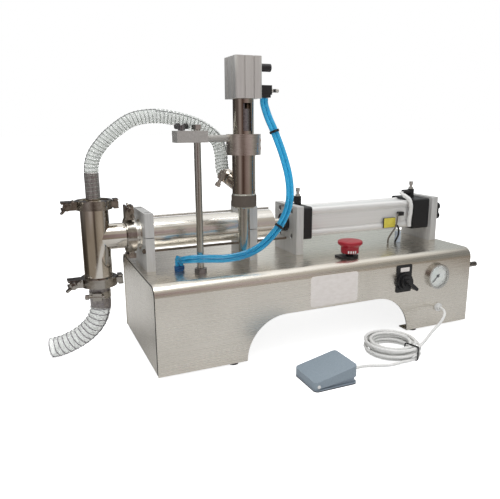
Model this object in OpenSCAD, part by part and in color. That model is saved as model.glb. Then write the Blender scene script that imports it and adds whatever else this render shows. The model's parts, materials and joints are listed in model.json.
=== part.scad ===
// Single-head pneumatic piston filler: base cabinet, material cylinder driven by an air cylinder,
// three-way check-valve tee, nozzle on a swivelling stand and a foot switch on a cord.
// Bench frame used below: x from the cabinet's left end, y from its front, z from the table.

/* [Cabinet] */
// Length of the cabinet
base_l = 556; // [540:1:600]
// Depth of the cabinet
base_w = 228; // [215:1:250]
// Height of the folded cabinet above its feet
base_h = 130; // [120:1:150]
// Thickness of the cabinet's sheet
sheet_t = 2; // [1.5:0.1:2.5]
// Outer radius of the folded top edges
base_r = 16; // [10:1:20]
// Start of the arched cut-out from the left end
arch_x = 134; // [120:1:150]
// Length of the arched cut-out at the bottom edge
arch_l = 292; // [260:1:296]
// Height of the arch, which is also the radius of its corners
arch_r = 64; // [50:1:68]
// Width of the return lips that carry the feet
lip_w = 20; // [20:1:30]
// Height of a rubber foot
foot_h = 4; // [3:0.5:8]
// Diameter of a rubber foot
foot_d = 17; // [14:1:18]
// Distance of a foot's centre from the cabinet's front or back
foot_inset = 10.5; // [9.5:0.5:11]
// Recess of the end plates behind the ends of the fold
end_recess = 0.6; // [0.2:0.1:1.5]

/* [Cylinder line] */
// Distance of the cylinder axis from the front
axis_y = 120; // [114:1:130]
// Height of the cylinder axis above the cabinet's top
axis_h = 50; // [46:1:58]
// Width of the upright plates
plate_w = 80; // [76:1:90]
// Thickness of the upright plates
plate_t = 13; // [11:0.5:15]
// Height of the middle and rear plates
plate_h = 80; // [80:1:92]
// Height of the saddles over both halves
saddle_h = 86; // [80:1:96]
// Gap between a saddle's halves
saddle_split = 1.2; // [0.8:0.1:2]
// Left face of the left saddle
saddle_x = 9; // [8:1:16]
// Distance between the two saddles
saddle_pitch = 164; // [150:1:170]
// Left face of the middle plate
middle_x = 256; // [250:1:262]
// Outer diameter of the material cylinder
tube_d = 46; // [42:0.5:50]
// Wall of the material cylinder
tube_wall = 2; // [1.5:0.1:3]
// Right end of the material cylinder
tube_end = 226; // [215:1:235]
// Diameter of the tie rods
tie_d = 4; // [3.5:0.5:6]
// Sideways offset of the tie rods from the axis
tie_off_y = 34; // [33:0.5:35]
// Upward offset of the tie rods from the axis
tie_off_z = 20; // [16:0.5:24]
// Right end of the tie rods
tie_end = 240; // [225:1:246]
// Length of the left cap of the air cylinder
front_cap_l = 20; // [16:1:26]
// Length of the air cylinder's barrel
barrel_l = 212; // [190:1:230]
// Length of the right cap of the air cylinder
rear_cap_l = 34; // [26:1:36]
// Height of the caps
cap_w = 54; // [52:0.5:58]
// Width of the caps from front to back
cap_l = 65; // [56:0.5:68]
// Bore of the air cylinder
air_bore = 40; // [36:0.5:41]
// Spacing of the cap screws
screw_pitch = 42; // [40:0.5:43]
// Diameter of the piston rod
rod_d = 14; // [10:0.5:16]
// Working stroke of the pistons
stroke = 120; // [80:1:130]
// Thickness of the material piston
piston_t = 26; // [20:1:30]
// Thickness of the air piston
air_piston_t = 18; // [14:1:24]
// Diameter of the stop screw
stop_d = 12; // [10:0.5:14]
// Diameter of the handwheel
wheel_d = 48; // [40:1:56]
// Thickness of the handwheel
wheel_t = 16; // [12:1:20]

/* [Tee and clamps] */
// Distance of the tee's upright axis to the left of the cabinet
tee_x = 55; // [54:1:62]
// Outer diameter of the tee's upright tube
tee_d = 40; // [38:0.5:40.5]
// Outer diameter of the tee's branch
branch_d = 38; // [36:0.5:39]
// Wall of the tee
tee_wall = 2; // [1.5:0.1:2.5]
// Height of the upper joint above the branch axis
tee_up = 49; // [47:1:60]
// Depth of the lower joint below the branch axis
tee_down = 65; // [62:1:76]
// Distance of the branch joint to the left of the cabinet
joint_gap = 6; // [5:0.5:7]
// Outer diameter of the ferrules
ferrule_d = 45; // [44:0.5:46]
// Thickness of a ferrule's rim
ferrule_t = 3.2; // [2.5:0.1:4]
// Thickness of the gaskets between two ferrules
gasket_t = 1.5; // [1:0.1:2]
// Outer diameter of a clamp ring
clamp_d = 52; // [51:0.5:54]
// Width of a clamp ring
clamp_w = 13; // [12.5:0.1:14]
// Distance of the swing bolt from the clamp's axis
bolt_off = 38; // [36:0.5:44]
// Diameter of the swing bolt
bolt_d = 6; // [5:0.5:6.5]
// Lift of the check valves
valve_lift = 5; // [3:0.5:5]

/* [Nozzle stand] */
// Distance of the post from the left end
post_x = 81; // [76:1:90]
// Distance of the post and the nozzle from the front
post_y = 49; // [46:1:52]
// Diameter of the post
post_d = 10; // [8:0.5:12]
// Height of the post's top above the cabinet
post_h = 207; // [204:1:220]
// Height of the arm block's underside above the cabinet
arm_z = 186; // [180:1:188]
// Height of the arm block
arm_h = 16; // [14:1:18]
// Depth of the arm block
arm_w = 26; // [22:1:30]
// Length of the arm block to the left of the post
arm_back = 32; // [28:1:36]
// Length of the arm block to the right of the post
arm_front = 12; // [10:1:16]
// Diameter of the arm rod
arm_d = 10; // [8:0.5:12]
// Distance from the post to the nozzle
reach = 69.5; // [66:0.5:76]

/* [Nozzle] */
// Height of the nozzle's lower end above the cabinet
tip_gap = 15; // [14:1:30]
// Length of the thin tip tube
tip_l = 76; // [60:1:80]
// Diameter of the tip tube
tip_d = 17.5; // [16:0.5:20]
// Wall of the tip tube
tip_wall = 2; // [1.5:0.1:2.5]
// Height of the collar above the tip
collar_h = 21; // [16:1:26]
// Diameter of the collar
collar_d = 36; // [35.5:0.5:40]
// Height of the valve body above the collar
body_h = 83; // [80:1:90]
// Diameter of the valve body
body_d = 34; // [32:0.5:35]
// Height of the slim neck under the actuator
neck_h = 50; // [40:1:60]
// Diameter of the slim neck
neck_d = 30; // [28:0.5:32]
// Wall of the valve body and neck
body_wall = 2.5; // [2:0.1:3.5]
// Width of the actuator block
act_w = 40; // [38:1:46]
// Depth of the actuator block
act_l = 44; // [40:1:50]
// Height of the actuator block
act_h = 56; // [50:1:64]
// Height of the ring clamp
ring_h = 29; // [22:1:30]
// Outer diameter of the ring clamp
ring_d = 50; // [46:0.5:54]
// Lift of the nozzle's plunger
plunger_lift = 12; // [8:1:14]
// Diameter of the plunger rod
plunger_d = 8; // [6:0.5:9]

/* [Hoses] */
// Outer diameter of the outlet hose over its ribs
outlet_od = 20; // [19:0.1:21]
// Bore of the outlet hose
outlet_id = 15; // [14:0.1:15.5]
// Spacing of the outlet hose's ribs
outlet_pitch = 5; // [4.5:0.1:8]
// Outer diameter of the suction hose over its ribs
suction_od = 30; // [29:0.1:31]
// Bore of the suction hose
suction_id = 24; // [22:0.1:24.5]
// Spacing of the suction hose's ribs
suction_pitch = 5; // [4.5:0.1:8]
// Height of a hose rib over its valley
rib_h = 0.7; // [0.4:0.1:1]
// Diameter of one air tube
air_d = 6; // [5:0.1:6.4]

/* [Controls] */
// Distance of the emergency stop from the right end
estop_x = 225; // [211:1:242]
// Distance of the emergency stop from the front
estop_y = 37; // [32:1:42]
// Diameter of the emergency stop's head
estop_d = 40; // [36:1:44]
// Travel of the emergency stop's head
estop_travel = 4; // [3:0.5:4.5]
// Distance of the selector from the right end
selector_in = 143; // [136:1:151]
// Height of the selector's axis above the table
selector_z = 92; // [88:1:96]
// Diameter of the panel holes for the stop and the selector
panel_hole = 22.4; // [22.2:0.1:23]
// Distance of the gauge from the right end
gauge_in = 72.5; // [62:0.5:76]
// Height of the gauge's axis above the table
gauge_z = 93; // [88:1:98]
// Diameter of the gauge's bezel
gauge_d = 43; // [40:0.5:46]
// Distance of the cord grommet from the right end
grommet_in = 66.5; // [56:0.5:76]
// Height of the cord grommet above the table
grommet_z = 37; // [30:0.5:44]
// Distance of the air inlet from the front
nipple_y = 28; // [24:1:34]
// Height of the air inlet above the table
nipple_z = 95; // [85:1:100]
// Diameter of the air inlet's straight end
nipple_d = 9; // [7:0.5:10]
// Length of the air inlet outside the cabinet
nipple_l = 42; // [34:1:50]

/* [Foot switch] */
// Distance of the foot switch from the cord grommet, along the cabinet
pedal_gap = 244.5; // [240:0.5:250]
// Front of the foot switch, measured in front of the cabinet
pedal_y = 119; // [116:1:124]
// Length of the foot switch
pedal_l = 66; // [64:1:68]
// Width of the foot switch
pedal_w = 58; // [54:1:62]
// Height of the treadle's low end
pedal_low = 13; // [12:0.5:15]
// Height of the treadle's high end
pedal_high = 27; // [25:0.5:30]
// Wall of the treadle
pedal_wall = 2.2; // [1.8:0.1:2.6]
// Travel of the treadle in degrees
pedal_angle = 6; // [4:0.5:7]
// Diameter of the foot switch's cord
cord_d = 4.6; // [4:0.1:4.8]
// Outer radius of the coil at the cord's centre
coil_r = 43; // [41:0.5:44]
// Inner radius of the coil at the cord's centre
coil_in = 27; // [25:0.5:30]
// Full turns of the coil
coil_loops = 8; // [8:1:8]
// Layers of the coil
coil_layers = 4; // [4:1:4]

/* [Hidden] */
$fn = 48;
// Clearances: pieces that seat, running shafts, and faces that move past each other
seat = 0.1;
run = 0.05;
free = 0.3;

top_z = foot_h + base_h;
axis_z = top_z + axis_h;
saddle_xs = [saddle_x, saddle_x + saddle_pitch];
front_cap_x = middle_x + plate_t;
barrel_x = front_cap_x + front_cap_l;
rear_cap_x = barrel_x + barrel_l;
rear_x = rear_cap_x + rear_cap_l;
tube_r = tube_d / 2;
bore_r = tube_r - tube_wall;
joint_x = -joint_gap;
upper_z = axis_z + tee_up;
lower_z = axis_z - tee_down;
neck_z = top_z + tip_gap + tip_l + collar_h + body_h;
collar_z = top_z + tip_gap + tip_l;
body_z = collar_z + collar_h;
act_z = neck_z + neck_h;
nozzle_x = post_x + reach;
arm_base = top_z + arm_z;
ring_z = arm_base + arm_d + 0.5 - ring_h;
arch_end = arch_x + arch_l;
selector_x = base_l - selector_in;
estop_at = base_l - estop_x;
gauge_x = base_l - gauge_in;
grommet_x = base_l - grommet_in;
pedal_x = grommet_x - pedal_gap - pedal_l;

// The model's origin lies under the middle of the object, cord aside, at the table
wing_span = 26;
nut_reach = bolt_off + wing_span / 2;
frame_x = (base_l + nipple_l - tee_x - nut_reach) / 2;
frame_y = (base_w - pedal_y) / 2;

// Placing helpers: an outline drawn in (y, z) and run along x, and a round piece along x or out
// of the front
module lengthwise(x, l) translate([x, 0, 0]) rotate([90, 0, 90]) linear_extrude(l) children();
module along_x(x, y, z) translate([x, y, z]) rotate([0, 90, 0]) children();
module out_front(x, y, z) translate([x, y, z]) rotate([90, 0, 0]) children();
module pipe(h, r_out, r_in) difference() {
    cylinder(h = h, r = r_out);
    translate([0, 0, -1]) cylinder(h = h + 2, r = r_in);
}
module rounded_rect(w, l, r) {
    translate([-w / 2, -l / 2 + r]) square([w, l - 2 * r]);
    translate([-w / 2 + r, -l / 2]) square([w - 2 * r, l]);
    for (x = [-1, 1], y = [-1, 1]) translate([x * (w / 2 - r), y * (l / 2 - r)]) circle(r);
}
module hexagon(across, h) cylinder(h = h, d = across / cos(30), $fn = 6);

// Swept tubes along a list of points
function unit(v) = v / norm(v);
function last(p) = p[len(p) - 1];
function spline(p, i, t) =
    let (a = p[max(i - 1, 0)], b = p[i], c = p[i + 1], d = p[min(i + 2, len(p) - 1)])
    0.5 * (2 * b + (c - a) * t + (2 * a - 5 * b + 4 * c - d) * t * t + (3 * b - a - 3 * c + d) * t * t * t);
function smooth(p, n) =
    concat([for (i = [0:len(p) - 2]) for (k = [0:n - 1]) spline(p, i, k / n)], [last(p)]);
function distances(p) =
    [for (i = 0, s = 0; i < len(p); s = s + (i + 1 < len(p) ? norm(p[i + 1] - p[i]) : 0), i = i + 1) s];
function at_distance(p, c, d) =
    let (found = [for (k = [0:len(p) - 2]) if (c[k + 1] >= d) k])
    let (k = len(found) > 0 ? found[0] : len(p) - 2)
    p[k] + (p[k + 1] - p[k]) * (d - c[k]) / (c[k + 1] - c[k]);
function even_points(p, n) =
    let (c = distances(p))
    [for (j = [0:n]) at_distance(p, c, last(c) * j / n)];
function tangent(p, i) = unit(p[min(i + 1, len(p) - 1)] - p[max(i - 1, 0)]);
function ring_points(p, i, r, sides, ref) =
    let (t = tangent(p, i), n = unit(cross(t, ref)), b = cross(t, n))
    [for (k = [0:sides - 1]) p[i] + r * (cos(360 * k / sides) * n + sin(360 * k / sides) * b)];
function skin_faces(rings, sides, first) = [
    for (i = [0:rings - 2]) for (k = [0:sides - 1])
        let (a = first + i * sides + k, b = first + i * sides + (k + 1) % sides)
        each [[a, a + sides, b + sides], [a, b + sides, b]]];
function flipped(faces) = [for (f = faces) [f[2], f[1], f[0]]];
function disc_faces(first, sides) = [for (k = [1:sides - 2]) [first, first + k, first + k + 1]];
function rim_faces(outer, inner, sides) = [
    for (k = [0:sides - 1]) let (n = (k + 1) % sides)
        each [[outer + k, outer + n, inner + n], [outer + k, inner + n, inner + k]]];

module swept_tube(p, d, sides, ref) {
    rings = len(p);
    points = [for (i = [0:rings - 1]) each ring_points(p, i, d / 2, sides, ref)];
    faces = concat(skin_faces(rings, sides, 0), disc_faces(0, sides),
        flipped(disc_faces((rings - 1) * sides, sides)));
    polyhedron(points, faces);
}

// A ribbed hose: two outer rings to a rib, and a smooth bore with a ring to every second rib
module ribbed_hose(route, od, id, pitch, ref) {
    sides = 8;
    bore_step = 4;
    fine = smooth(route, 8);
    ribs = round(last(distances(fine)) / pitch / 2) * 2;
    outer = even_points(fine, 2 * ribs);
    count = len(outer);
    bores = [for (i = [0:bore_step:count - 1]) i];
    bore_r = id / 2 / cos(180 / sides);
    points = concat(
        [for (i = [0:count - 1]) each ring_points(outer, i, od / 2 - (i % 2 == 0 ? rib_h : 0), sides, ref)],
        [for (i = bores) each ring_points(outer, i, bore_r, sides, ref)]);
    inner = count * sides;
    inner_end = inner + (len(bores) - 1) * sides;
    faces = concat(skin_faces(count, sides, 0), flipped(skin_faces(len(bores), sides, inner)),
        rim_faces(0, inner, sides), flipped(rim_faces((count - 1) * sides, inner_end, sides)));
    polyhedron(points, faces);
}

// Cabinet
foot_gap = 19;
lip_x = end_recess + sheet_t + free;
port_x = 55;
port_y = 70.5;
port_thread_d = 8;
port_h = 7;
nipple_thread_d = 11.6;
grommet_neck_d = 9.6;
gauge_back_d = gauge_d - 4;

module base_outline(inset) {
    r = base_r - inset;
    w = base_w - 2 * inset;
    h = base_h - inset;
    translate([inset, foot_h]) {
        square([w, h - r]);
        translate([r, 0]) square([w - 2 * r, h]);
        for (y = [r, w - r]) translate([y, h - r]) circle(r);
    }
}
module arch_outline() {
    translate([arch_x + arch_r, foot_h - 1]) square([arch_l - 2 * arch_r, arch_r + 1]);
    for (x = [arch_x + arch_r, arch_end - arch_r]) translate([x, foot_h]) circle(arch_r, $fn = 96);
}
module base_housing() color("silver") difference() {
    union() {
        lengthwise(0, base_l) difference() {
            base_outline(0);
            base_outline(sheet_t);
            translate([sheet_t, 0]) square([base_w - 2 * sheet_t, foot_h + 1]);
        }
        lengthwise(lip_x, base_l - 2 * lip_x)
            for (y = [0, base_w - lip_w]) translate([y, foot_h]) square([lip_w, sheet_t]);
    }
    translate([0, base_w + 1, 0]) rotate([90, 0, 0]) linear_extrude(base_w + 2) arch_outline();
    translate([post_x, post_y, top_z - 2 * sheet_t]) cylinder(h = 3 * sheet_t, r = post_d / 2 + run);
    translate([port_x, port_y, top_z - 2 * sheet_t]) cylinder(h = 3 * sheet_t,
        r = port_thread_d / 2 + seat);
    translate([estop_at, estop_y, top_z - 2 * sheet_t]) cylinder(h = 3 * sheet_t, d = panel_hole);
    out_front(selector_x, 2 * sheet_t, selector_z) cylinder(h = 3 * sheet_t, d = panel_hole);
    out_front(gauge_x, 2 * sheet_t, gauge_z) cylinder(h = 3 * sheet_t, r = gauge_back_d / 2 + seat);
    out_front(grommet_x, 2 * sheet_t, grommet_z) cylinder(h = 3 * sheet_t, r = grommet_neck_d / 2 + seat);
}
module end_plates() color("gainsboro") difference() {
    for (x = [end_recess, base_l - end_recess - sheet_t]) lengthwise(x, sheet_t)
        base_outline(sheet_t + seat);
    along_x(base_l - 3 * sheet_t, nipple_y, nipple_z) cylinder(h = 4 * sheet_t,
        r = nipple_thread_d / 2 + seat);
}
module rubber_feet() color("black")
    for (x = [arch_x - foot_gap, arch_end + foot_gap], y = [foot_inset, base_w - foot_inset])
        translate([x, y, 0]) cylinder(h = foot_h, d1 = foot_d - 2, d2 = foot_d);

// Material cylinder on its saddles
cap_screw_d = 5;
cap_screw_off = tube_r + 1.7 + cap_screw_d / 2;
cap_screw_depth = 18;
head_d = 8.5;
head_h = 5;
tie_spots = [[axis_y + tie_off_y, axis_z + tie_off_z], [axis_y - tie_off_y, axis_z - tie_off_z]];
tube_start = saddle_x - 1;
branch_r_in = branch_d / 2 - tee_wall;

module plate_outline(h) translate([axis_y - plate_w / 2, top_z]) square([plate_w, h]);
module saddle(x) difference() {
    lengthwise(x, plate_t) difference() {
        plate_outline(saddle_h);
        translate([axis_y, axis_z]) circle(tube_r + seat, $fn = 96);
        translate([axis_y - plate_w, axis_z - saddle_split / 2]) square([2 * plate_w, saddle_split]);
        for (spot = tie_spots) translate(spot) circle(tie_d / 2 + seat);
    }
    for (y = [-1, 1]) translate([x + plate_t / 2, axis_y + y * cap_screw_off, 0]) {
        translate([0, 0, axis_z - cap_screw_depth - seat]) cylinder(h = base_h, r = cap_screw_d / 2 + seat);
        translate([0, 0, top_z + saddle_h - head_h - 1]) cylinder(h = base_h, r = head_d / 2 + seat);
    }
}
module saddles() color("lightgray") for (x = saddle_xs) saddle(x);

module material_cylinder() color("silver") along_x(0, axis_y, axis_z) rotate_extrude($fn = 96) {
    face = joint_x + gasket_t / 2;
    neck_end = face + ferrule_t + (ferrule_d - branch_d) / 4;
    polygon([[branch_r_in, face], [ferrule_d / 2, face], [ferrule_d / 2, face + ferrule_t],
        [branch_d / 2, neck_end], [branch_d / 2, tube_start], [tube_r, tube_start], [tube_r, tube_end],
        [bore_r, tube_end], [bore_r, tube_start + tube_wall], [branch_r_in, tube_start + tube_wall]]);
}
module tie_rods() color("dimgray") for (spot = tie_spots) {
    nut_h = tie_d * 0.8;
    along_x(saddle_x - nut_h - 1, spot[0], spot[1]) cylinder(h = tie_end - saddle_x + nut_h + 1, d = tie_d);
    for (x = [saddle_xs[0] - nut_h, saddle_xs[1] + plate_t]) along_x(x, spot[0], spot[1]) difference() {
        hexagon(tie_d * 1.6, nut_h);
        translate([0, 0, -1]) cylinder(h = nut_h + 2, r = tie_d / 2 + seat);
    }
}

// Air cylinder between its plates
gland_d = 30;
gland_neck_d = rod_d + 6;
gland_t = 7;
plate_screw_d = 5;
air_piston_x = barrel_x + 2;
stop_tip = air_piston_x + air_piston_t + stroke + 0.5;
wheel_gap = 9.5;
wheel_x = rear_x + plate_t + wheel_gap;
screw_spots = [for (y = [-1, 1], z = [-1, 1]) [axis_y + y * screw_pitch / 2, axis_z + z * screw_pitch / 2]];
lobe_d = 12;
barrel_wall = 2.8;
lobe_off = cap_w / 2 - lobe_d / 2 - 2;

module middle_plate() color("lightgray") difference() {
    lengthwise(middle_x, plate_t) difference() {
        plate_outline(plate_h);
        translate([axis_y, axis_z]) circle(gland_neck_d / 2 + seat);
        for (spot = screw_spots) translate(spot) circle(plate_screw_d / 2 + seat);
    }
    for (spot = screw_spots) along_x(middle_x - 1, spot[0], spot[1]) cylinder(h = head_h + 2,
        r = head_d / 2 + seat);
}
module rear_plate() color("lightgray") difference() {
    lengthwise(rear_x, plate_t) difference() {
        plate_outline(plate_h);
        translate([axis_y, axis_z]) circle(stop_d / 2 + 0.5);
        for (spot = screw_spots) translate(spot) circle(plate_screw_d / 2 + seat);
    }
    for (spot = screw_spots) along_x(rear_x + plate_t - head_h - 1, spot[0], spot[1])
        cylinder(h = head_h + 2, r = head_d / 2 + seat);
}
module cap(x, l, bore) difference() {
    lengthwise(x, l) translate([axis_y, axis_z]) difference() {
        rounded_rect(cap_l, cap_w, 4);
        circle(bore / 2);
    }
    translate([x + l / 2, axis_y, axis_z + cap_w / 2 - 6]) cylinder(h = 12, r = port_d / 2 + seat);
}
module cylinder_caps() color("#27272a") {
    difference() {
        cap(front_cap_x, front_cap_l, rod_d + 1);
        for (spot = screw_spots) along_x(front_cap_x - 1, spot[0], spot[1])
            cylinder(h = 11, r = plate_screw_d / 2 + seat);
    }
    difference() {
        cap(rear_cap_x, rear_cap_l, stop_d + 2 * run);
        for (spot = screw_spots) along_x(rear_x - 10, spot[0], spot[1])
            cylinder(h = 11, r = plate_screw_d / 2 + seat);
    }
    along_x(middle_x - gland_t, axis_y, axis_z) difference() {
        union() {
            cylinder(h = gland_t, d = gland_d);
            cylinder(h = gland_t + plate_t - 1, d = gland_neck_d);
        }
        translate([0, 0, -1]) cylinder(h = gland_t + plate_t + 2, r = rod_d / 2 + run);
    }
}
module air_barrel() color("whitesmoke") lengthwise(barrel_x, barrel_l) translate([axis_y, axis_z])
    difference() {
    union() {
        for (y = [-1, 1], z = [-1, 1]) translate([y * lobe_off, z * lobe_off]) circle(d = lobe_d);
        square(air_bore + 2 * barrel_wall, center = true);
    }
    circle(air_bore / 2, $fn = 96);
    for (y = [-1, 1], z = [-1, 1]) translate([y * (lobe_off + 4), z * (lobe_off - lobe_d / 2 - 1)])
        circle(d = 2.4);
}
module head_screw(d, l) {
    cylinder(h = head_h, d = head_d);
    translate([0, 0, -l]) cylinder(h = l + 1, d = d);
}
module frame_screws() color("dimgray") {
    for (x = saddle_xs, y = [-1, 1])
        translate([x + plate_t / 2, axis_y + y * cap_screw_off, top_z + saddle_h - head_h - 1])
            head_screw(cap_screw_d, top_z + saddle_h - head_h - 1 - axis_z + cap_screw_depth);
    for (spot = screw_spots) {
        translate([middle_x + head_h + 1, spot[0], spot[1]]) rotate([0, -90, 0])
            head_screw(plate_screw_d, plate_t - head_h + 8);
        translate([rear_x + plate_t - head_h - 1, spot[0], spot[1]]) rotate([0, 90, 0])
            head_screw(plate_screw_d, plate_t - head_h + 8);
    }
    for (z = [top_z, top_z - sheet_t - nut_h]) translate([post_x, post_y, z]) difference() {
        hexagon(post_d * 1.6, nut_h);
        translate([0, 0, -1]) cylinder(h = nut_h + 2, r = post_d / 2 + run);
    }
}
nut_h = 6;

// Flow controls on the caps: a banjo body with a tube port, and a needle screw
port_d = 8;
needle_d = 5;
control_h = 15;
control_spots = [front_cap_x + front_cap_l / 2, rear_cap_x + rear_cap_l / 2];
control_z = axis_z + cap_w / 2;
module flow_control(x, turn) translate([x, axis_y, control_z]) {
    difference() {
        union() {
            translate([0, 0, -5]) cylinder(h = 6, d = port_d);
            hexagon(12, 4);
            cylinder(h = control_h, d = 12);
            rotate([0, 0, turn]) rotate([0, 90, 0]) translate([-9, 0, 0]) cylinder(h = 18, d = 11);
        }
        translate([0, 0, 6]) cylinder(h = control_h, r = needle_d / 2 + run);
        rotate([0, 0, turn]) rotate([0, 90, 0]) translate([-9, 0, 11]) cylinder(h = 8, d = air_d + 0.4);
    }
}
module flow_controls() color("#27272a") {
    flow_control(control_spots[0], 90);
    flow_control(control_spots[1], 180);
}
module needle_screw(x) color("silver") translate([x, axis_y, control_z + 7]) {
    cylinder(h = control_h + 2, d = needle_d);
    translate([0, 0, control_h - 7 + free]) hexagon(8, 3);
    translate([0, 0, control_h + 1]) cylinder(h = 6, d = 7);
}
module flow_screw_front() needle_screw(control_spots[0]);
module flow_screw_rear() needle_screw(control_spots[1]);

// Two reed switches on the barrel's front, each with its lead, a clip for the leads on the cabinet's top,
// and the sleeved tube of the rear flow control. Each switch box: left, back, bottom, length, depth, height
lead_d = 3;
sleeve_d = 7.5;
switches = [[-62, 25.1, 28.5, 26, 2.6, 18], [-60, 22.8, 38.5, 22, 3.6, 7.5], [-31, 22.8, 48.5, 12, 6, 7]];
leads = [
    [[-37.5, -26.6, 32], [-33, -29, 31], [-31, -31, 24], [-32.5, -32.5, 14], [-36, -30.5, 5],
        [-36.5, -29.5, 0.6]],
    [[-30, -25.8, 52], [-33.5, -29, 51], [-36, -31.5, 45], [-38, -33, 37], [-42, -34, 28], [-48.5, -34, 20],
        [-53, -31.5, 10],
        [-52, -29, 0.6]]];
lead_clip = [[-35, -31, 0], [10, 6, 21]];
sleeve = [[2, 0, 86], [-5, -0.5, 86], [-10, -6, 86.5], [-11, -16, 83.5], [-8, -27, 77], [-6.5, -31, 66],
    [-6.5, -30.6, 52], [-7.5, -30, 40], [-7, -29.7, 28]];
module reed_switches() color("#303034") translate([rear_cap_x, axis_y, top_z]) {
    for (s = switches) translate([s[0], -s[1] - s[4], s[2]]) cube([s[3], s[4], s[5]]);
    for (lead = leads) swept_tube(smooth(lead, 2), lead_d, 8, [0.2, 1, 0.1]);
    translate(lead_clip[0]) cube(lead_clip[1]);
    swept_tube(smooth(sleeve, 2), air_d - 0.4, 8, [0.3, 0.1, 1]);
    swept_tube(smooth([for (i = [3:len(sleeve) - 1]) sleeve[i]], 2), sleeve_d, 10, [0.3, 0.1, 1]);
}

// Solenoid valve that the foot switch works, under the cabinet's top
valve_x = 214;
valve_y = 150;
valve_l = 78;
valve_w = 30;
valve_h = 34;
coil_box_l = 34;
coil_inset = 2;
valve_port_d = 12;
valve_port_l = 14;
module valve_block() color("slategray") translate([valve_x, valve_y, top_z - sheet_t]) {
    translate([0, 0, -valve_h]) cube([valve_l, valve_w, valve_h]);
    translate([valve_l, coil_inset, -valve_h + coil_inset])
        cube([coil_box_l, valve_w - 2 * coil_inset, valve_h - 4 * coil_inset]);
    for (i = [1, 2, 3]) translate([i * valve_l / 4, 0, -valve_h / 2]) rotate([90, 0, 0])
        cylinder(h = valve_port_l, d = valve_port_d);
}

// Valve tee with its clamped joints
tee_r_in = tee_d / 2 - tee_wall;
cone_h = (ferrule_d - tee_d) / 4;
seat_t = 4;
seat_bore = 22;
valve_d = 29;
valve_t = 6;
stem_d = 6;
bar_t = 4;
inlet_seat_z = lower_z + 9;
outlet_seat_z = axis_z + branch_d / 2 + 3;
valve_spots = [[inlet_seat_z, inlet_seat_z + 28], [outlet_seat_z, outlet_seat_z + 18]];
outlet_barb_l = 38;
suction_barb_l = 24;
barb_collar = 8;
outlet_barb_r = outlet_id / 2 - 2 * seat;
suction_barb_r = suction_id / 2 - 2 * seat;

module at_tee(z) translate([-tee_x, axis_y, z]) children();
module crossbar(z) at_tee(z) difference() {
    translate([-tee_r_in - 0.5, -4, 0]) cube([2 * tee_r_in + 1, 8, bar_t]);
    translate([0, 0, -1]) cylinder(h = bar_t + 2, r = stem_d / 2 + run);
}
module tee_body() color("silver") {
    low = lower_z + gasket_t / 2;
    high = upper_z - gasket_t / 2;
    face = joint_x - gasket_t / 2;
    difference() {
        union() {
            at_tee(0) rotate_extrude($fn = 96) polygon([[0, low], [ferrule_d / 2, low], [ferrule_d / 2,
                low + ferrule_t],
                [tee_d / 2, low + ferrule_t + cone_h], [tee_d / 2, high - ferrule_t - cone_h],
                [ferrule_d / 2, high - ferrule_t], [ferrule_d / 2, high], [0, high]]);
            along_x(0, axis_y, axis_z) rotate_extrude($fn = 96) polygon([[0, -tee_x], [branch_d / 2,
                -tee_x],
                [branch_d / 2, face - ferrule_t - cone_h], [ferrule_d / 2, face - ferrule_t],
                [ferrule_d / 2, face], [0, face]]);
        }
        at_tee(low - 1) cylinder(h = high - low + 2, r = tee_r_in, $fn = 96);
        along_x(-tee_x, axis_y, axis_z) cylinder(h = tee_x, r = branch_r_in, $fn = 96);
    }
    for (spot = valve_spots) {
        at_tee(spot[0]) pipe(seat_t, tee_r_in + 0.5, seat_bore / 2);
        crossbar(spot[1]);
    }
}
module poppet(spot) at_tee(spot[0] + seat_t + free) {
    cylinder(h = valve_t, d = valve_d);
    cylinder(h = spot[1] + bar_t + 1 - spot[0] - seat_t - free, d = stem_d);
}
module inlet_valve() color("gray") poppet(valve_spots[0]);
module outlet_valve() color("gray") poppet(valve_spots[1]);

module barb(r, d, l) rotate_extrude() polygon([[r - tee_wall, 0], [ferrule_d / 2, 0], [ferrule_d / 2,
    ferrule_t],
    [d / 2 + 1, ferrule_t + 2], [d / 2 + 1, barb_collar], [r, barb_collar], [r, barb_collar + l],
    [r - tee_wall, barb_collar + l]]);
module hose_barbs() color("silver") {
    at_tee(upper_z + gasket_t / 2) barb(outlet_barb_r, outlet_od, outlet_barb_l);
    at_tee(lower_z - gasket_t / 2) mirror([0, 0, 1]) barb(suction_barb_r, suction_od, suction_barb_l);
}

// The three clamps, drawn about z with the hinge on +x and the bolt on -x
module at_clamp(i) {
    if (i == 0) at_tee(upper_z) children();
    if (i == 1) along_x(joint_x, axis_y, axis_z) children();
    if (i == 2) at_tee(lower_z) children();
}
half_gap = 0.6;
clamp_r_in = tee_d / 2 + 1.5;
groove_w = gasket_t + 2 * (ferrule_t + cone_h + seat);
pin_d = 4;
hinge_off = clamp_d / 2 + 4.5;
hinge_y = 5;
lug_h = 12;
lug_t = 9;
bolt_l = 27;
nut_y = half_gap + lug_t + free;
nut_l = 8;
wing_turns = [45, 20, 35];

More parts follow.
